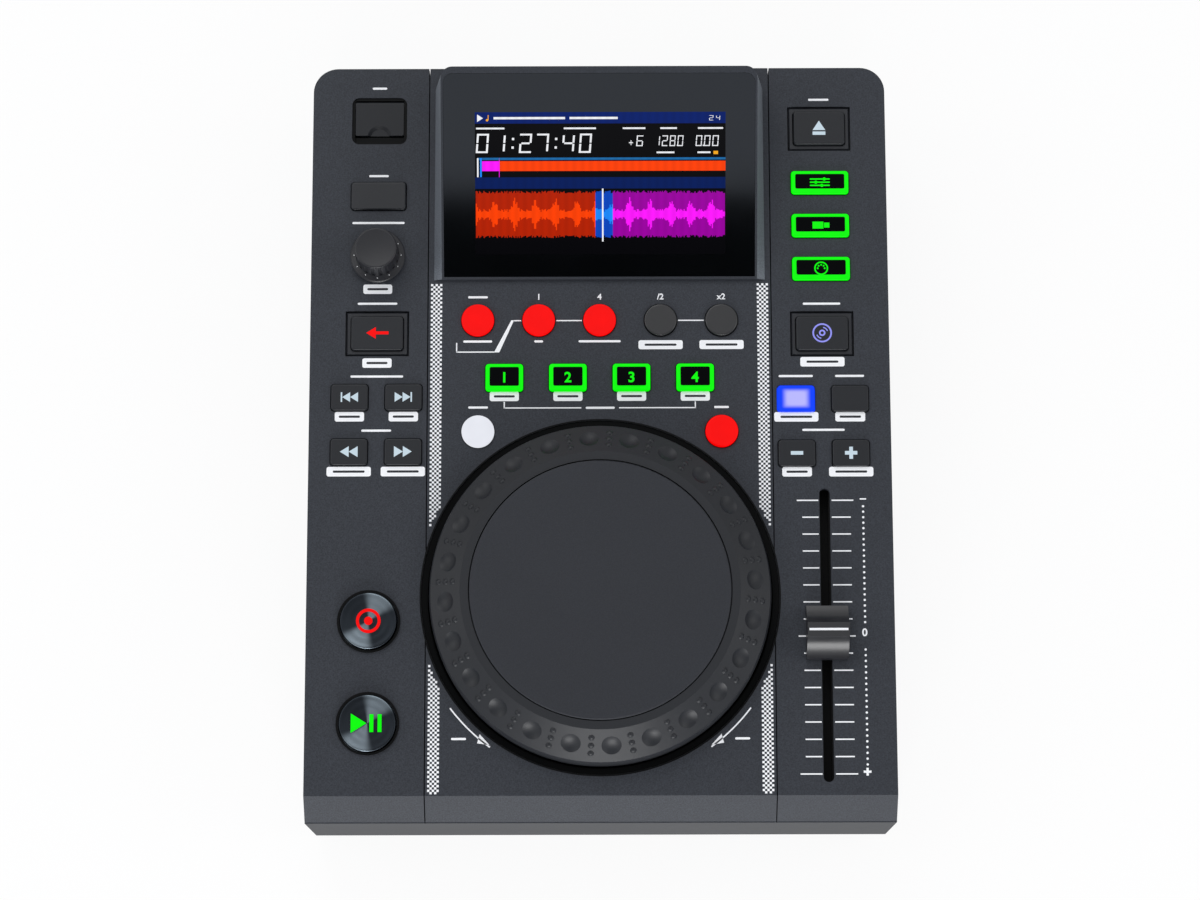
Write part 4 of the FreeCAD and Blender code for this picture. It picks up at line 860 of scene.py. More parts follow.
def figures(text: str, name: str, size: float, at: Vector, finish: Finish, body: str = CASE,
            thickness: float = 0.06) -> None:
    """Plain figures as a thin mesh, centred on a point.

    Args:
        text: the figures.
        name: the object's name.
        size: height of a figure in millimetres.
        at: middle of the figures in millimetres.
        finish: what they are made of.
        body: the body that carries them.
        thickness: how far they stand up, in millimetres.
    """
    em_per_height = 1.38
    weight = 0.035
    curve = bpy.data.curves.new(name + "_curve", "FONT")
    curve.body = text
    curve.align_x = "CENTER"
    curve.align_y = "CENTER"
    curve.size = size * MM * em_per_height
    curve.extrude = thickness * MM / 2
    curve.offset = size * MM * weight
    holder = bpy.data.objects.new(name + "_holder", curve)
    bpy.context.scene.collection.objects.link(holder)
    mesh = bpy.data.meshes.new_from_object(holder)
    bpy.data.objects.remove(holder)
    work = bmesh.new()
    work.from_mesh(mesh)
    bpy.data.meshes.remove(mesh)
    work.transform(Matrix.Translation(at * MM))
    carry(work, name, finish, body)


# Sub-assemblies

@dataclass(frozen=True)
class Assembly:
    """Nodes of one sub-assembly, each with the finish that it has all over."""

    name: str
    finishes: dict[str, Finish]

    def dress(self) -> None:
        """Give each node its finish."""
        for node, finish in self.finishes.items():
            dress(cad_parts[node], finish)
        LOG.info("%s: %d nodes dressed", self.name, len(self.finishes))


ASSEMBLIES = (
    Assembly("case", {"left_cheek": DECK, "right_cheek": DECK, "centre_deck": DECK,
                      "base_tray": TRAY, "rubber_feet": FOOT, "case_screws": DARK_STEEL,
                      "key_bezels": BEZEL}),
    Assembly("jog wheel", {"jog_rim": RIM, "touch_plate": PLATE, "jog_well": WELL,
                           "jog_bearing": BRASS, "jog_spindle": STEEL}),
    Assembly("boards", {"key_boards": BOARD, "main_board": BOARD, "tact_switches": INSIDE}),
    Assembly("screen pod", {"display_pod": POD, "display_lens": LENS, "display_module": INSIDE}),
    Assembly("plain keys", {"reverse_key": KEY, "eject_key": KEY, "vinyl_key": KEY,
                            "track_back_key": KEY, "track_next_key": KEY, "search_back_key": KEY,
                            "search_next_key": KEY, "tap_key": KEY, "bend_minus_key": KEY,
                            "bend_plus_key": KEY, "reloop_button": ROUND_KEY,
                            "loop_double_button": ROUND_KEY, "back_key": BACK_KEY}),
    Assembly("lit keys", {"auto_loop_button": RED_LIT, "loop_in_button": RED_LIT,
                          "loop_out_button": RED_LIT, "slip_button": RED_LIT,
                          "shift_button": WHITE_LIT, "settings_key": GREEN_LIT,
                          "source_key": GREEN_LIT, "midi_key": GREEN_LIT, "pad_key_1": GREEN_LIT,
                          "pad_key_2": GREEN_LIT, "pad_key_3": GREEN_LIT, "pad_key_4": GREEN_LIT}),
    Assembly("fader", {"pitch_cap": FADER_CAP, "pitch_lever": STEEL, "fader_body": INSIDE}),
    Assembly("browse control", {"browse_knob": KNOB, "browse_shaft": STEEL,
                                "browse_encoder": DARK_STEEL}),
    Assembly("sockets", {"usb_pocket": WELL, "usb_flap": FLAP, "usb_a_socket": STEEL,
                         "line_jacks": STEEL, "usb_b_socket": STEEL, "dc_jack": INSIDE,
                         "power_switch": INSIDE, "power_rocker": KEY}),
)


@dataclass
class DeckPrint:
    """White and dark print on the deck: labels, scale, chequered strips, brackets and arrows.

    Places are offsets in millimetres from the middle of the node that the mark belongs to.
    """

    sink: float = 0.02
    film: float = 0.03
    overlap: float = 0.01
    label_bar: float = 0.85
    pill_corner: float = 0.8
    pill_bar_share: float = 0.72
    line: float = 0.45
    # Plain bars where words stand: node or pair of nodes, offset along, width
    bars: tuple[tuple[str, str, float, float], ...] = (
        ("usb_pocket", "usb_pocket", 13.0, 5.6), ("back_key", "back_key", 8.1, 7.5),
        ("browse_knob", "browse_knob", 13.5, 20.0), ("reverse_key", "reverse_key", 11.7, 15.1),
        ("eject_key", "eject_key", 11.6, 7.9), ("vinyl_key", "vinyl_key", 11.7, 14.3),
        ("key_lock_key", "key_lock_key", 8.9, 13.0), ("tap_key", "tap_key", 8.9, 11.0),
        ("track_back_key", "track_next_key", 8.2, 20.0),
        ("search_back_key", "search_next_key", 8.3, 11.3),
        ("bend_minus_key", "bend_plus_key", 9.1, 16.0),
        ("auto_loop_button", "auto_loop_button", 9.2, 7.5),
        ("auto_loop_button", "auto_loop_button", -8.1, 11.0),
        ("loop_in_button", "loop_in_button", -8.1, 3.4),
        ("loop_out_button", "loop_out_button", -8.1, 16.0),
        ("shift_button", "shift_button", 9.4, 7.5), ("slip_button", "slip_button", 9.4, 5.6))
    # Filled labels below keys: node, drop, width, depth
    pills: tuple[tuple[str, float, float, float], ...] = (
        ("browse_knob", 12.6, 11.0, 3.7), ("reverse_key", 11.45, 11.1, 3.7),
        ("track_back_key", 7.35, 11.1, 3.7), ("track_next_key", 7.35, 11.1, 3.7),
        ("search_back_key", 7.45, 16.7, 3.7), ("search_next_key", 7.45, 16.7, 3.7),
        ("vinyl_key", 10.95, 16.8, 3.7), ("key_lock_key", 6.9, 16.7, 3.7),
        ("tap_key", 6.9, 11.3, 3.7), ("bend_minus_key", 7.0, 11.2, 3.7),
        ("bend_plus_key", 7.0, 16.7, 3.7), ("reloop_button", 9.5, 16.8, 3.5),
        ("loop_double_button", 9.5, 16.8, 3.5), ("pad_key_1", 7.1, 11.05, 3.7),
        ("pad_key_2", 7.1, 11.05, 3.7), ("pad_key_3", 7.1, 11.05, 3.7),
        ("pad_key_4", 7.1, 11.05, 3.7))
    # Figures over the round buttons: button, text, end of the object's name
    counts: tuple[tuple[str, str, str], ...] = (
        ("loop_in_button", "1", "one"), ("loop_out_button", "4", "four"),
        ("reloop_button", "/2", "half"), ("loop_double_button", "x2", "double"))
    count_rise: float = 9.2
    count_size: float = 2.3
    # Lines that join the round buttons: each end is a node with its offsets across and along
    links: tuple[tuple[str, float, float, str, float, float], ...] = (
        ("loop_in_button", 6.7, 0, "loop_out_button", -6.7, 0),
        ("reloop_button", 6.7, 0, "loop_double_button", -6.7, 0),
        ("loop_in_button", -6.7, 0, "loop_in_button", -9.6, 0),
        ("auto_loop_button", -8.0, -8.6, "auto_loop_button", -8.0, -12.3),
        ("auto_loop_button", -8.2, -12.2, "auto_loop_button", 6.4, -12.2))
    slant: tuple[tuple[str, float, float], ...] = (
        ("auto_loop_button", 6.2, -12.35), ("auto_loop_button", 8.2, -12.35),
        ("loop_in_button", -9.4, 0.18), ("loop_in_button", -10.4, 0.18))
    # Bracket under the pads
    rail_drop: float = 11.6
    leg_drop: float = 9.2
    rail_ends: Point = (-7.0, 7.3)
    rail_label: Point = (0.15, 11.0)
    # Scale beside the fader
    tick_count: int = 17
    tick_line: float = 0.5
    tick_shift: float = 0.8
    tick_margin: float = 15.6
    slot_sides: Point = (-2.4, 2.6)
    short_ends: Point = (-8.5, 9.7)
    long_ends: Point = (-10.5, 10.8)
    dot_column: float = 14.4
    dot_radius: float = 0.45
    dot_rows: tuple[tuple[int, float, float], ...] = ((22, 4.4, 48.4), (21, -5.9, -48.8))
    minus_box: Sides = (-1.2, 50.95, 1.2, 51.45)
    plus_size: float = 2.9
    plus_at: Point = (-0.1, -51.5)
    zero_size: float = 2.9
    zero_at: Point = (-0.2, 0.4)
    # Chequered strips, and the painted shade round the wheel's well
    strip_inner: float = 59.9
    strip_outer: float = 64.2
    strip_columns: int = 5
    strip_rear_gap: float = 1.4
    strip_front: float = -135.3
    strip_gap_to_wheel: float = 1.9
    well_flange: float = 2.8
    well_shade_width: float = 0.55
    well_shade_gap: float = 0.02
    # Curved arrows, as offsets from the wheel's middle
    arrow_start: Point = (55.9, -42.1)
    arrow_end: Point = (41.2, -56.9)
    arrow_tip: Point = (41.2, -55.9)
    arrow_back: Point = (44.9, -51.8)
    arrow_wing: Point = (0.9, -3.4)
    arrow_sides: Point = (0.3, 0.25)
    arrow_label: Point = (52.7, -53.6)
    arrow_label_width: float = 5.6

    def __post_init__(self) -> None:
        """Take the deck's height from the frame and start the inks."""
        self.deck = middle("centre_deck").z
        self.white = Inlay(self.deck - self.sink, self.deck + self.film)
        self.dark = Inlay(self.deck + self.film - self.overlap, self.deck + 2 * self.film)

    def rounded_bar(self, sheet: Inlay, x: float, y: float, width: float) -> None:
        """Add a bar with round ends, which stands for a word.

        Args:
            sheet: the ink that it is printed in.
            x: middle, across.
            y: middle, along.
            width: size across.
        """
        sheet.add([rounded(x, y, width, self.label_bar, self.label_bar / 2 - 0.01, 3)])

    def labels(self) -> None:
        """Bars, filled labels and figures of all keys."""
        for first, second, rise, width in self.bars:
            x = (middle(first).x + middle(second).x) / 2
            self.rounded_bar(self.white, x, middle(first).y + rise, width)
        for node, drop, width, depth in self.pills:
            point = middle(node)
            self.white.add([rounded(point.x, point.y - drop, width, depth, self.pill_corner)])
            self.rounded_bar(self.dark, point.x, point.y - drop, width * self.pill_bar_share)
        for node, text, name in self.counts:
            point = middle(node)
            figures(text, "Deck_figure_" + name, self.count_size,
                    Vector((point.x, point.y + self.count_rise, self.deck)), WHITE_INK)

    def joins(self) -> None:
        """Lines between the round buttons, and the bracket under the pads."""
        for first, x0, y0, second, x1, y1 in self.links:
            a = middle(first)
            b = middle(second)
            self.white.add([stroke((a.x + x0, a.y + y0), (b.x + x1, b.y + y1), self.line)])
        self.white.add([[(middle(node).x + x, middle(node).y + y) for node, x, y in self.slant]])
        left = middle("pad_key_1")
        right = middle("pad_key_4")
        rail = left.y - self.rail_drop
        for point, end in ((left, self.rail_ends[0]), (right, self.rail_ends[1])):
            self.white.add([stroke((point.x, left.y - self.leg_drop),
                                   (point.x, rail - self.line / 2), self.line),
                            stroke((point.x, rail), (end, rail), self.line)])
        self.rounded_bar(self.white, self.rail_label[0], rail, self.rail_label[1])

    def scale(self) -> None:
        """Ticks, dots and end marks beside the fader."""
        slot = middle("fader_body")
        low, high = corners("fader_body")
        reach = (high.y - low.y - self.tick_margin) / 2
        for index in range(self.tick_count):
            y = slot.y - self.tick_shift + reach * (1 - 2 * index / (self.tick_count - 1))
            long = index in (0, self.tick_count // 2, self.tick_count - 1)
            ends = self.long_ends if long else self.short_ends
            for end, side in zip(ends, self.slot_sides):
                self.white.add([stroke((slot.x + end, y), (slot.x + side, y), self.tick_line)])
        column = slot.x + self.dot_column
        for count, first, last in self.dot_rows:
            for index in range(count):
                y = slot.y + first + (last - first) * index / (count - 1)
                self.white.add([disc(column, y, self.dot_radius, 10)])
        self.white.add([bar(*self.minus_box)], column, slot.y)
        self.white.add(glyph_outlines(Glyph.PLUS, self.plus_size), column + self.plus_at[0],
                       slot.y + self.plus_at[1])
        figures("0", "Deck_figure_zero", self.zero_size,
                Vector((column + self.zero_at[0], slot.y + self.zero_at[1], self.deck)), WHITE_INK)

    def chequers(self) -> None:
        """Chequered strips along both seams, cut short at the wheel's well."""
        wheel = middle("jog_rim")
        well = corners("jog_well")[1].x - self.well_flange + self.strip_gap_to_wheel
        step = (self.strip_outer - self.strip_inner) / self.strip_columns
        rear = corners("display_pod")[0].y - self.strip_rear_gap
        for row in range(int((rear - self.strip_front) / step)):
            y = rear - row * step
            for column in range(row % 2, self.strip_columns, 2):
                x = self.strip_inner + column * step
                if math.hypot(x + step / 2, y - step / 2 - wheel.y) >= well:
                    self.white.add([bar(-x - step, y - step, -x, y), bar(x, y - step, x + step, y)])

    def well_shade_ring(self) -> None:
        """Painted shade: a thin black ring on the deck round the wheel's well."""
        wheel = middle("jog_rim")
        low, high = corners("jog_well")
        well = (high.x - low.x) / 2 - self.well_flange
        edge = Inlay(self.deck - self.sink, self.deck + self.film)
        edge.add(arc_band(wheel.x, wheel.y, well + self.well_shade_width,
                          well + self.well_shade_gap, steps=160))
        edge.build("Well_edge", WELL)

    def arrows(self) -> None:
        """Curved arrows in front of the wheel, one each way."""
        wheel = middle("jog_rim")
        radius = math.hypot(*self.arrow_start)
        outer, inner = self.arrow_sides
        for side in (-1, 1):
            start, end = sorted(math.degrees(math.atan2(y, side * x))
                                for x, y in (self.arrow_start, self.arrow_end))
            self.white.add(arc_band(wheel.x, wheel.y, radius + outer, radius - inner, start, end, 16))
            tip = (side * self.arrow_tip[0], wheel.y + self.arrow_tip[1])
            back = (side * self.arrow_back[0], wheel.y + self.arrow_back[1])
            wing = (back[0] + side * self.arrow_wing[0], back[1] + self.arrow_wing[1])
            self.white.add([[tip, back, wing]])
            self.rounded_bar(self.white, side * self.arrow_label[0], wheel.y + self.arrow_label[1],
                             self.arrow_label_width)

    def build(self) -> None:
        """Print everything, and lay the painted shade round the wheel's well."""
        self.labels()
        self.joins()
        self.scale()
        self.chequers()
        self.arrows()
        self.well_shade_ring()
        self.white.build("Deck_print_white", WHITE_INK)
        self.dark.build("Deck_print_dark", DARK_INK)
        LOG.info("deck print: %d white shapes", len(self.white.outlines))


@dataclass(frozen=True)
class Layer:
    """Rectangles of one colour in the display's picture, as left, top, right, bottom shares."""

    name: str
    finish: ScreenLight
    depth: int
    boxes: tuple[Sides, ...]


@dataclass(frozen=True)
class SoundBand:
    """One coloured part of the large sound outline, between two shares of the width."""

    name: str
    left: float
    right: float
    deep: ScreenLight
    bright: ScreenLight
    seed: float


SEGMENTS = {"0": "abcdef", "1": "bc", "2": "abdeg", "3": "abcdg", "4": "bcfg", "5": "acdfg",
            "6": "acdefg", "7": "abc", "8": "abcdefg", "9": "abcdfg"}


@dataclass
class ScreenPod:
    """The lit picture on the tilted pod."""

    tilt_deg: float = 17.6
    front_height: float = 1.5
    middle_v: float = 36.4
    middle_u: float = 0.4
    width: float = 95.04
    height: float = 53.86
    film: float = 0.02
    lean: float = 0.045
    # Large sound outline: its middle, its reach and its beats across the width
    wave_middle: float = 0.718
    wave_reach: float = 0.163
    wave_bars: int = 230
    wave_beats: float = 12.2
    beat_sharpness: int = 9
    # Numbers of a common formula that scatters values between 0 and 1
    scatter: Point3 = (12.9898, 78.233, 43758.5453)
    # Text, left of the first figure, step to the next, top, width and height
    rows: tuple[tuple[str, float, float, float, float, float], ...] = (
        ("01", 0.006, 0.067, 0.151, 0.048, 0.135), ("27", 0.178, 0.068, 0.151, 0.048, 0.135),
        ("40", 0.349, 0.068, 0.151, 0.048, 0.135), ("6", 0.645, 0.0, 0.165, 0.026, 0.075),
        ("1280", 0.716, 0.031, 0.165, 0.022, 0.075), ("000", 0.882, 0.033, 0.165, 0.024, 0.075),
        ("24", 0.935, 0.027, 0.025, 0.016, 0.035))
    # Colons, points, signs, and bars where words stand
    white_boxes: tuple[Sides, ...] = (
        (0.148, 0.18, 0.157, 0.196), (0.146, 0.24, 0.155, 0.256),
        (0.32, 0.18, 0.329, 0.196), (0.318, 0.24, 0.327, 0.256),
        (0.806, 0.23, 0.81, 0.24), (0.909, 0.23, 0.913, 0.24),
        (0.615, 0.212, 0.631, 0.219), (0.6215, 0.199, 0.6245, 0.232),
        (0.075, 0.034, 0.36, 0.05), (0.378, 0.034, 0.57, 0.05),
        (0.005, 0.108, 0.118, 0.12), (0.355, 0.108, 0.483, 0.12), (0.59, 0.108, 0.68, 0.12),
        (0.74, 0.108, 0.806, 0.12), (0.89, 0.108, 0.99, 0.12),
        (0.725, 0.278, 0.796, 0.29), (0.888, 0.278, 0.94, 0.29))
    amber_boxes: tuple[Sides, ...] = ((0.052, 0.02, 0.055, 0.056), (0.952, 0.274, 0.97, 0.297))
    arrow_at: Point = (0.021, 0.042)
    arrow_size: float = 2.8
    note_at: Point = (0.049, 0.056)
    note_radius: float = 0.45
    layers: tuple[Layer, ...] = (
        Layer("field", SCREEN_BLACK, 0, ((0, 0, 1, 1),)),
        Layer("title_bar", SCREEN_NAVY, 1, ((0, 0, 1, 0.08),)),
        Layer("lower_band", SCREEN_DEEP, 1, ((0, 0.457, 1, 0.537),)),
        Layer("overview_rule", SCREEN_TEAL, 1, ((0.012, 0.319, 1, 0.335),)),
        Layer("overview", SCREEN_ORANGE, 1, ((0.098, 0.343, 1, 0.413),)),
        Layer("overview_played", SCREEN_MAGENTA, 1,
              ((0.028, 0.343, 0.0955, 0.413), (0.0955, 0.322, 0.098, 0.455))),
        Layer("overview_loop", SCREEN_BLUE, 2, ((0.02, 0.322, 0.027, 0.455),)),
        Layer("overview_mark", SCREEN_WHITE, 3, ((0.008, 0.322, 0.014, 0.455),)),
        Layer("sound_mark", SCREEN_WHITE, 3, ((0.5065, 0.537, 0.5125, 0.91),)))
    bands: tuple[SoundBand, ...] = (
        SoundBand("left", 0.002, 0.48, SCREEN_DARK_ORANGE, SCREEN_ORANGE, 0.1),
        SoundBand("middle", 0.48, 0.55, SCREEN_DARK_BLUE, SCREEN_BLUE, 0.3),
        SoundBand("right", 0.55, 0.998, SCREEN_DARK_MAGENTA, SCREEN_MAGENTA, 0.5))

    def __post_init__(self) -> None:
        """Take the pod's front edge from the frame."""
        low, _ = corners("display_pod")
        origin = Vector((0, low.y, low.z + self.front_height)) * MM
        tilt = Euler((math.radians(self.tilt_deg), 0, 0)).to_matrix().to_4x4()
        self.place = Matrix.Translation(origin) @ tilt

    def at(self, across: float, down: float) -> Point:
        """Point on the face from shares of the picture's width and height.

        Args:
            across: share from the left.
            down: share from the top.

        Returns:
            The point in millimetres on the face.
        """
        return (self.middle_u + (across - 0.5) * self.width,
                self.middle_v + (0.5 - down) * self.height)

    def panel(self, box: Sides) -> Outline:
        """Rectangle on the face.

        Args:
            box: left, top, right and bottom shares.

        Returns:
            The outline's points.
        """
        left, top, right, bottom = box
        x0, y1 = self.at(left, top)
        x1, y0 = self.at(right, bottom)
        return bar(x0, y0, x1, y1)

    def paint(self, name: str, finish: Finish, depth: int, outlines: list[Outline]) -> None:
        """Add one colour of the picture.

        Args:
            name: end of the object's name.
            finish: the colour.
            depth: place in the pile, from the lens outward.
            outlines: the shapes on the face.
        """
        sheet = Inlay(depth * self.film, (depth + 1) * self.film)
        sheet.add(outlines)
        sheet.build("Screen_" + name, finish, CASE, self.place)

    def segments(self, figure: str, left: float, top: float, width: float,
                 height: float) -> list[Outline]:
        """Seven-segment figure in shares of the picture.

        Args:
            figure: one digit.
            left: share of its left side.
            top: share of its top.
            width: share of its width.
            height: share of its height.

        Returns:
            The lit segments.
        """
        thick_x = width * 0.16
        thick_y = height * 0.09
        gap = height * 0.03
        right = left + width
        bottom = top + height
        waist = top + height / 2
        strips = {
            "a": (left, top, right, top + thick_y),
            "g": (left + thick_x, waist - thick_y / 2, right - thick_x, waist + thick_y / 2),
            "d": (left, bottom - thick_y, right, bottom),
            "f": (left, top + thick_y, left + thick_x, waist - gap),
            "b": (right - thick_x, top + thick_y, right, waist - gap),
            "e": (left, waist + gap, left + thick_x, bottom - thick_y),
            "c": (right - thick_x, waist + gap, right, bottom - thick_y),
        }
        slanted = []
        for name in SEGMENTS[figure]:
            x0, y0, x1, y1 = strips[name]
            slanted.append([self.at(x + (waist - y) * self.lean, y)
                            for x, y in ((x0, y1), (x1, y1), (x1, y0), (x0, y0))])
        return slanted

    def wave(self, band: SoundBand, base: float, beat: float, ragged: float) -> list[Outline]:
        """Upright bars of the sound's outline about its middle line.

        Args:
            band: the part of the outline.
            base: share of the reach that every bar has.
            beat: share that the beats add.
            ragged: share that differs from bar to bar.

        Returns:
            The bars.
        """
        shapes = []
        span = band.right - band.left
        count = int(span * self.wave_bars)
        step, shift, spread = self.scatter
        for index in range(count):
            left = band.left + span * index / count
            pulse = abs(math.cos(math.pi * (left * self.wave_beats + band.seed)))
            grain = abs(math.sin(index * step + band.seed * shift) * spread) % 1
            peak = pulse ** self.beat_sharpness * (0.6 + 0.4 * grain)
            reach = self.wave_reach * (base + beat * peak + ragged * grain)
            shapes.append(self.panel((left, self.wave_middle - reach, left + span / count,
                                      self.wave_middle + reach)))
        return shapes

    def build(self) -> None:
        """Draw title bar, readouts, overview and the large sound outline."""
        for layer in self.layers:
            self.paint(layer.name, layer.finish, layer.depth, [self.panel(box) for box in layer.boxes])
        white = [self.panel(box) for box in self.white_boxes]
        for text, left, step, top, width, height in self.rows:
            for index, figure in enumerate(text):
                white += self.segments(figure, left + index * step, top, width, height)
        x, y = self.at(*self.arrow_at)
        white.append([(px + x, py + y) for px, py in arrowhead(-1.1, self.arrow_size, 1)])
        self.paint("readouts", SCREEN_WHITE, 2, white)
        amber = [self.panel(box) for box in self.amber_boxes]
        amber.append(disc(*self.at(*self.note_at), self.note_radius, 12))
        self.paint("tags", SCREEN_AMBER, 2, amber)
        for band in self.bands:
            self.paint("sound_back_" + band.name, band.deep, 1, self.wave(band, 0.9, 0.0, 0.12))
            self.paint("sound_" + band.name, band.bright, 2, self.wave(band, 0.1, 0.5, 0.14))
        LOG.info("screen picture built")


@dataclass
class KeyBank:
    """Symbols, black inlays and the blue window of the keys."""

    film: float = 0.05
    sink: float = 0.02
    flange: float = 1.0
    inlay_sides: float = 1.6
    inlay_front: float = 2.1
    inlay_rear: float = 1.3
    inlay_corner: float = 0.6
    pad_figure_size: float = 4.0
    pad_figure_shift: float = -0.2
    inlaid: tuple[str, ...] = ("settings_key", "source_key", "midi_key", "pad_key_1", "pad_key_2",
                               "pad_key_3", "pad_key_4")
    # Key, symbol, height in millimetres, finish
    symbols: tuple[tuple[str, Glyph, float, Finish], ...] = (
        ("track_back_key", Glyph.TO_START, 3.75, PALE_GLYPH),
        ("track_next_key", Glyph.TO_END, 3.75, PALE_GLYPH),
        ("search_back_key", Glyph.BACKWARD, 4.2, PALE_GLYPH),
        ("search_next_key", Glyph.FORWARD, 4.2, PALE_GLYPH),
        ("bend_minus_key", Glyph.MINUS, 4.65, PALE_GLYPH),
        ("bend_plus_key", Glyph.PLUS, 4.65, PALE_GLYPH),
        ("eject_key", Glyph.EJECT, 5.65, PALE_GLYPH),
        ("reverse_key", Glyph.REVERSE, 4.6, RED_GLYPH),
        ("vinyl_key", Glyph.DISC, 6.2, LAVENDER_LIT),
        ("settings_key", Glyph.SLIDERS, 3.8, GREEN_LIT),
        ("source_key", Glyph.PLUG, 3.8, GREEN_LIT),
        ("midi_key", Glyph.FIVE_PIN, 4.8, GREEN_LIT))

    def inlay(self, node: str) -> None:
        """Lay the black inlay into a lit green key.

        Args:
            node: the key.
        """
        low, high = corners(node)
        width = high.x - low.x - 2 * self.flange - 2 * self.inlay_sides
        front = low.y + self.flange + self.inlay_front
        rear = high.y - self.flange - self.inlay_rear
        sheet = Inlay(high.z - self.sink, high.z + self.film)
        sheet.add([rounded((low.x + high.x) / 2, (front + rear) / 2, width, rear - front,
                           self.inlay_corner)])
        sheet.build(node + "_inlay", INLAY, "press_" + node)

    def blue_key(self) -> None:
        """Blue key whose lavender middle melts into its border."""
        low, high = corners("key_lock_key")
        centre = ((low.x + high.x) / 2, (low.y + high.y) / 2)
        half = ((high.x - low.x) / 2 - self.flange, (high.y - low.y) / 2 - self.flange)
        dress(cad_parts["key_lock_key"],
              LitWindow("Lit_polycarbonate_blue_window", "#b9b8ff", "#0040ff", centre, half))

    def build(self) -> None:
        """Add every inlay, symbol and figure."""
        for node in self.inlaid:
            self.inlay(node)
        for node, glyph, size, finish in self.symbols:
            point = middle(node)
            lift = self.film if node in self.inlaid else 0.0
            sheet = Inlay(point.z - self.sink, point.z + self.film + lift)
            sheet.add(glyph_outlines(glyph, size), point.x, point.y)
            sheet.build(node.replace("_key", "") + "_symbol", finish, "press_" + node)
        for number in (1, 2, 3, 4):
            node = "pad_key_%d" % number
            point = middle(node)
            at = Vector((point.x, point.y + self.pad_figure_shift, point.z + self.film))
            figures(str(number), "pad_figure_%d" % number, self.pad_figure_size, at, GREEN_LIT,
                    "press_" + node, thickness=2 * self.film)
        self.blue_key()
        LOG.info("keys built")


@dataclass
class TransportPair:
    """Two large spun caps with lit symbols, each in a black ring."""

    cap_colour: str = "#24282d"
    ring_mm: float = 0.45
    roughness: float = 0.3
    film: float = 0.05
    dish: float = 0.6
    collar_height: float = 0.7
    ring_outer: float = 11.84
    ring_inner: float = 10.97
    # Name, finish, and each symbol with its height and offset across
    caps: tuple[tuple[str, Finish, tuple[tuple[Glyph, float, float], ...]], ...] = (
        ("cue", RED_GLYPH, ((Glyph.RETURN, 9.2, 0.0),)),
        ("play", GREEN_LIT, ((Glyph.PLAY, 7.2, -3.2), (Glyph.PAUSE, 6.6, 3.1))))

    def build(self) -> None:
        """Dress both caps and add their rings and symbols."""
        ring_low = DECK_TOP + self.collar_height
        for name, finish, symbols in self.caps:
            node = name + "_button"
            point = middle(node)
            # Each cap carries two rays of painted highlight from its spun finish
            dress(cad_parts[node],
                  TurnedMetal("Aluminium_spun_black_" + node, self.cap_colour, (point.x, point.y),
                              self.ring_mm, self.roughness))
            ring = Inlay(ring_low - 0.01, ring_low + self.film)
            ring.add(arc_band(point.x, point.y, self.ring_outer, self.ring_inner, steps=96))
            ring.build(name + "_ring", WELL)
            sheet = Inlay(point.z - self.dish, point.z + self.film)
            for glyph, size, shift in symbols:
                sheet.add(glyph_outlines(glyph, size), point.x + shift, point.y)
            sheet.build(name + "_symbol", finish, "press_" + node)
        LOG.info("transport pair built")


@dataclass
class SmallMarks:
    """Line on the fader's cap, painted glints on the knob's skirt and rings in the line jacks."""

    line_width: float = 1.3
    line_margin: float = 0.6
    line_depths: Point = (0.3, 0.04)
    # Painted glints round the knob's skirt: count, size, circle and height
    glint_count: int = 12
    glint_radius: float = 0.22
    glint_circle: float = 8.9
    glint_height: float = 0.42
    skirt_top: float = 1.8
    ring_outer: float = 3.5
    ring_inner: float = 1.75
    ring_depth: float = 0.25
    ring_sink: float = 0.02
    jack_side: float = 5.5
    jack_rise: float = 11.5

    def fader_line(self) -> None:
        """White line across the fader's cap."""
        low, high = corners("pitch_cap")
        point = middle("pitch_cap")
        half = (high.x - low.x) / 2 - self.line_margin
        sheet = Inlay(high.z - self.line_depths[0], high.z - self.line_depths[1])
        sheet.add([bar(-half, -self.line_width / 2, half, self.line_width / 2)], point.x, point.y)
        sheet.build("pitch_cap_line", WHITE_INK, "pitch_fader")

    def knob_glints(self) -> None:
        """Painted glints: pale specks round the knob's skirt, standing in for small highlights."""
        low, _ = corners("browse_knob")
        point = middle("browse_knob")
        top = low.z + self.skirt_top
        sheet = Inlay(top, top + self.glint_height)
        for x, y in disc(point.x, point.y, self.glint_circle, self.glint_count):
            sheet.add([disc(x, y, self.glint_radius, 10)])
        sheet.build("Browse_painted_glints", WHITE_INK, "browse_push")

    def jack_rings(self) -> None:
        """White and red insulating rings in the mouths of the line jacks."""
        low, high = corners("line_jacks")
        height = corners("main_board")[1].z + self.jack_rise
        facing_rear = Euler((-math.pi / 2, 0, 0)).to_matrix().to_4x4()
        for x, finish, name in ((low.x + self.jack_side, JACK_RING_RED, "right"),
                                (high.x - self.jack_side, JACK_RING_WHITE, "left")):
            sheet = Inlay(0, self.ring_depth)
            sheet.add(arc_band(0, 0, self.ring_outer, self.ring_inner))
            at = Vector((x, high.y - self.ring_sink, height)) * MM
            sheet.build("jack_ring_" + name, finish, CASE, Matrix.Translation(at) @ facing_rear)

    def build(self) -> None:
        """Add all the small marks."""
        self.fader_line()
        self.knob_glints()
        self.jack_rings()
        LOG.info("small marks built")


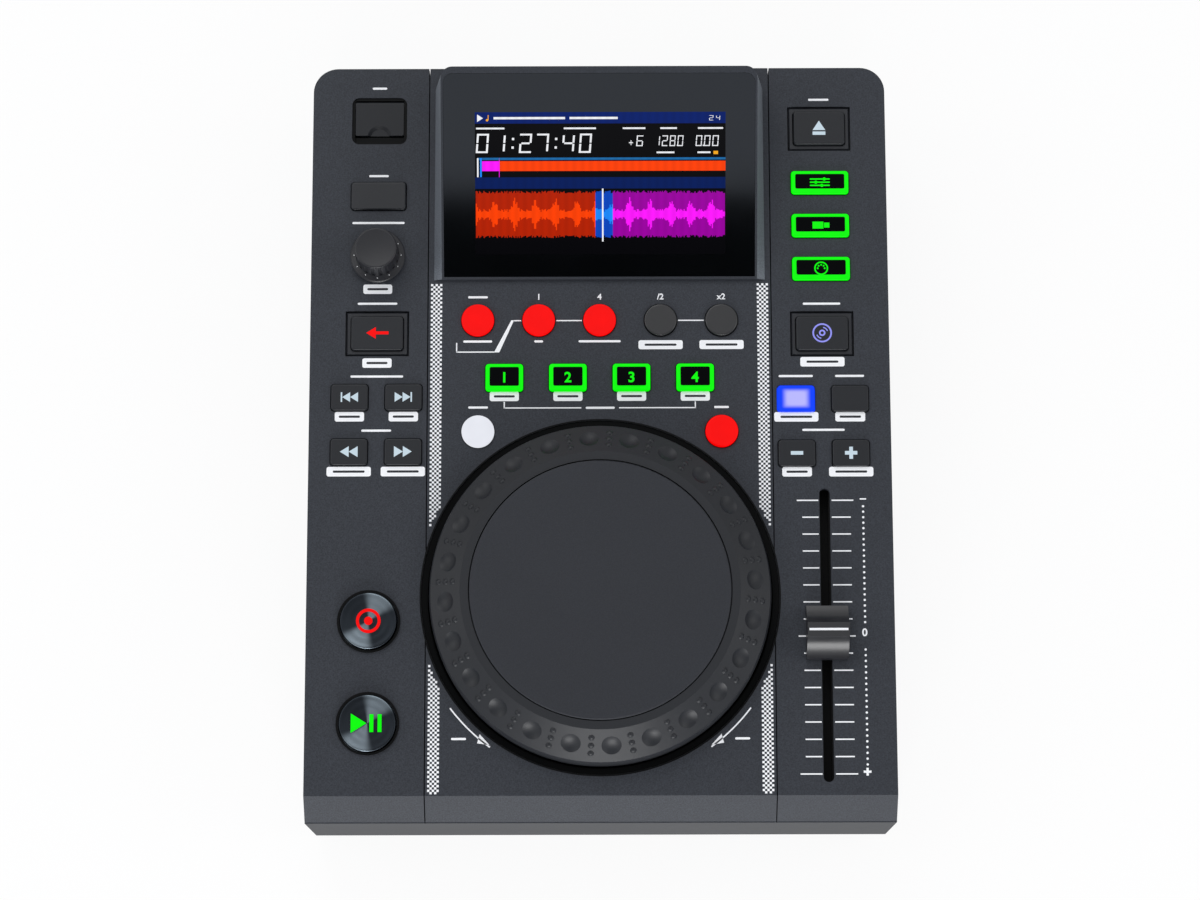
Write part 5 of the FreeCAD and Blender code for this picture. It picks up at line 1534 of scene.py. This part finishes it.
@dataclass
class Studio:
    """Pale floor, soft lamps and the camera at the photograph's angle."""

    elevation_deg: float = 78.6
    distance: float = 1256.6
    target: Point = (0.04, -5.3)
    roll_deg: float = -0.14
    focal_pixels: float = 3330.0
    image_width: float = 1200.0
    sensor_mm: float = 36.0
    clip_end: float = 20.0
    floor_half: float = 6.0
    floor_white: float = 0.9
    world_colour: Colour = (0.9, 0.93, 1.0, 1.0)
    world_strength: float = 0.38
    # Rear side, front side, half its width and its height over the floor
    flag_mm: Sides = (-303.0, -860.0, 600.0, 1200.0)
    aim: Point3 = (0.0, 0.0, 0.05)
    # Name, place in metres, side in metres, power in watts
    lamps: tuple[tuple[str, Point3, float, float], ...] = (
        ("Rear_softbox", (-0.25, 0.95, 1.1), 0.9, 7.0),
        ("Left_softbox", (-1.2, 0.1, 0.9), 0.8, 4.5),
        ("Right_softbox", (1.2, -0.1, 0.9), 0.8, 4.5),
        ("Front_softbox", (0.0, -1.3, 0.3), 0.8, 20.0))

    def camera(self) -> None:
        """Place the camera."""
        data = bpy.data.cameras.new("Photo_camera")
        data.sensor_width = self.sensor_mm
        data.lens = self.sensor_mm * self.focal_pixels / self.image_width
        data.clip_end = self.clip_end
        camera = bpy.data.objects.new("Photo_camera", data)
        bpy.context.scene.collection.objects.link(camera)
        angle = math.radians(self.elevation_deg)
        camera.location = Vector((self.target[0], self.target[1] - self.distance * math.cos(angle),
                                  middle("centre_deck").z + self.distance * math.sin(angle))) * MM
        tilt = Euler((math.pi / 2 - angle, 0, 0)).to_matrix()
        roll = Matrix.Rotation(math.radians(self.roll_deg), 3, "Z")
        camera.rotation_euler = (tilt @ roll).to_euler()
        bpy.context.scene.camera = camera

    def floor(self) -> None:
        """Pale floor that the camera sees as white, with the object's soft shadow."""
        work = bmesh.new()
        bmesh.ops.create_grid(work, x_segments=8, y_segments=8, size=self.floor_half)
        thing = flat_object(work, "Floor")
        material, tree = empty_material("Paper_floor_white")
        place = add_node(tree, "TexCoord")
        fibre = add_node(tree, "TexNoise", {"Scale": 1 / (3 * MM)},
                         {"Vector": place.outputs["Object"]})
        tone = add_node(tree, "MapRange", {"To Min": 0.9, "To Max": 0.93},
                        {"Value": fibre.outputs["Fac"]})
        paper = add_node(tree, "BsdfPrincipled", {"Roughness": 0.9},
                         {"Base Color": tone.outputs["Result"]})
        light = add_node(tree, "Emission", {"Strength": 1.0})
        # A tenth of the lit paper stays in view, so that the shadow shows faintly
        share = add_node(tree, "Math", {"operation": "MULTIPLY", 1: self.floor_white},
                         {0: self.seen(tree)})
        mix = add_node(tree, "MixShader", {},
                       {0: share.outputs[0], 1: paper.outputs[0], 2: light.outputs[0]})
        add_node(tree, "OutputMaterial", links={"Surface": mix.outputs[0]})
        thing.data.materials.append(material)

    def seen(self, tree: bpy.types.NodeTree) -> bpy.types.NodeSocket:
        """Whether a ray comes from the camera, a reflection or through something clear.

        Args:
            tree: the tree that asks.

        Returns:
            The socket that gives 1 for such a ray.
        """
        path = add_node(tree, "LightPath")
        first = add_node(tree, "Math", {"operation": "MAXIMUM"},
                         {0: path.outputs["Is Camera Ray"], 1: path.outputs["Is Glossy Ray"]})
        both = add_node(tree, "Math", {"operation": "MAXIMUM"},
                        {0: first.outputs[0], 1: path.outputs["Is Transmission Ray"]})
        return both.outputs[0]

    def world(self) -> None:
        """World that the camera sees as white and that lights the object gently."""
        world = bpy.data.worlds.new("Studio_world")
        bpy.context.scene.world = world
        world.use_nodes = True
        tree = world.node_tree
        tree.nodes.clear()
        dim = add_node(tree, "Background",
                       {"Color": self.world_colour, "Strength": self.world_strength})
        white = add_node(tree, "Background", {"Color": (1, 1, 1, 1), "Strength": 1.0})
        mix = add_node(tree, "MixShader", {},
                       {0: self.seen(tree), 1: dim.outputs[0], 2: white.outputs[0]})
        add_node(tree, "OutputWorld", links={"Surface": mix.outputs[0]})

    def flag(self) -> None:
        """Black card over the front, seen only in reflections: it darkens the lens's lower half."""
        rear, front, half, height = self.flag_mm
        work = bmesh.new()
        work.faces.new([work.verts.new((x * MM, y * MM, height * MM)) for x, y in
                        ((-half, front), (half, front), (half, rear), (-half, rear))])
        card = flat_object(work, "Black_flag")
        material, tree = empty_material("Card_black")
        dark = add_node(tree, "Emission", {"Strength": 0.0})
        add_node(tree, "OutputMaterial", links={"Surface": dark.outputs[0]})
        card.data.materials.append(material)
        for ray in ("camera", "diffuse", "shadow", "transmission", "volume_scatter"):
            setattr(card, "visible_" + ray, False)

    def softboxes(self) -> None:
        """Soft square lamps that face the object."""
        for name, at, side, power in self.lamps:
            data = bpy.data.lights.new(name, "AREA")
            data.shape = "SQUARE"
            data.size = side
            data.energy = power
            lamp = bpy.data.objects.new(name, data)
            lamp.location = at
            lamp.rotation_euler = (Vector(self.aim) - Vector(at)).to_track_quat("-Z", "Y").to_euler()
            bpy.context.scene.collection.objects.link(lamp)

    def build(self) -> None:
        """Build the whole studio."""
        bpy.context.scene.view_settings.view_transform = "Standard"
        self.camera()
        self.floor()
        self.world()
        self.flag()
        self.softboxes()
        LOG.info("studio built")


def main() -> None:
    """Build every sub-assembly in order."""
    logging.basicConfig(level=logging.INFO, format="%(message)s")
    Studio().build()
    for assembly in ASSEMBLIES:
        assembly.dress()
    ScreenPod().build()
    KeyBank().build()
    TransportPair().build()
    SmallMarks().build()
    DeckPrint().build()


if __name__ == "__main__":
    main()
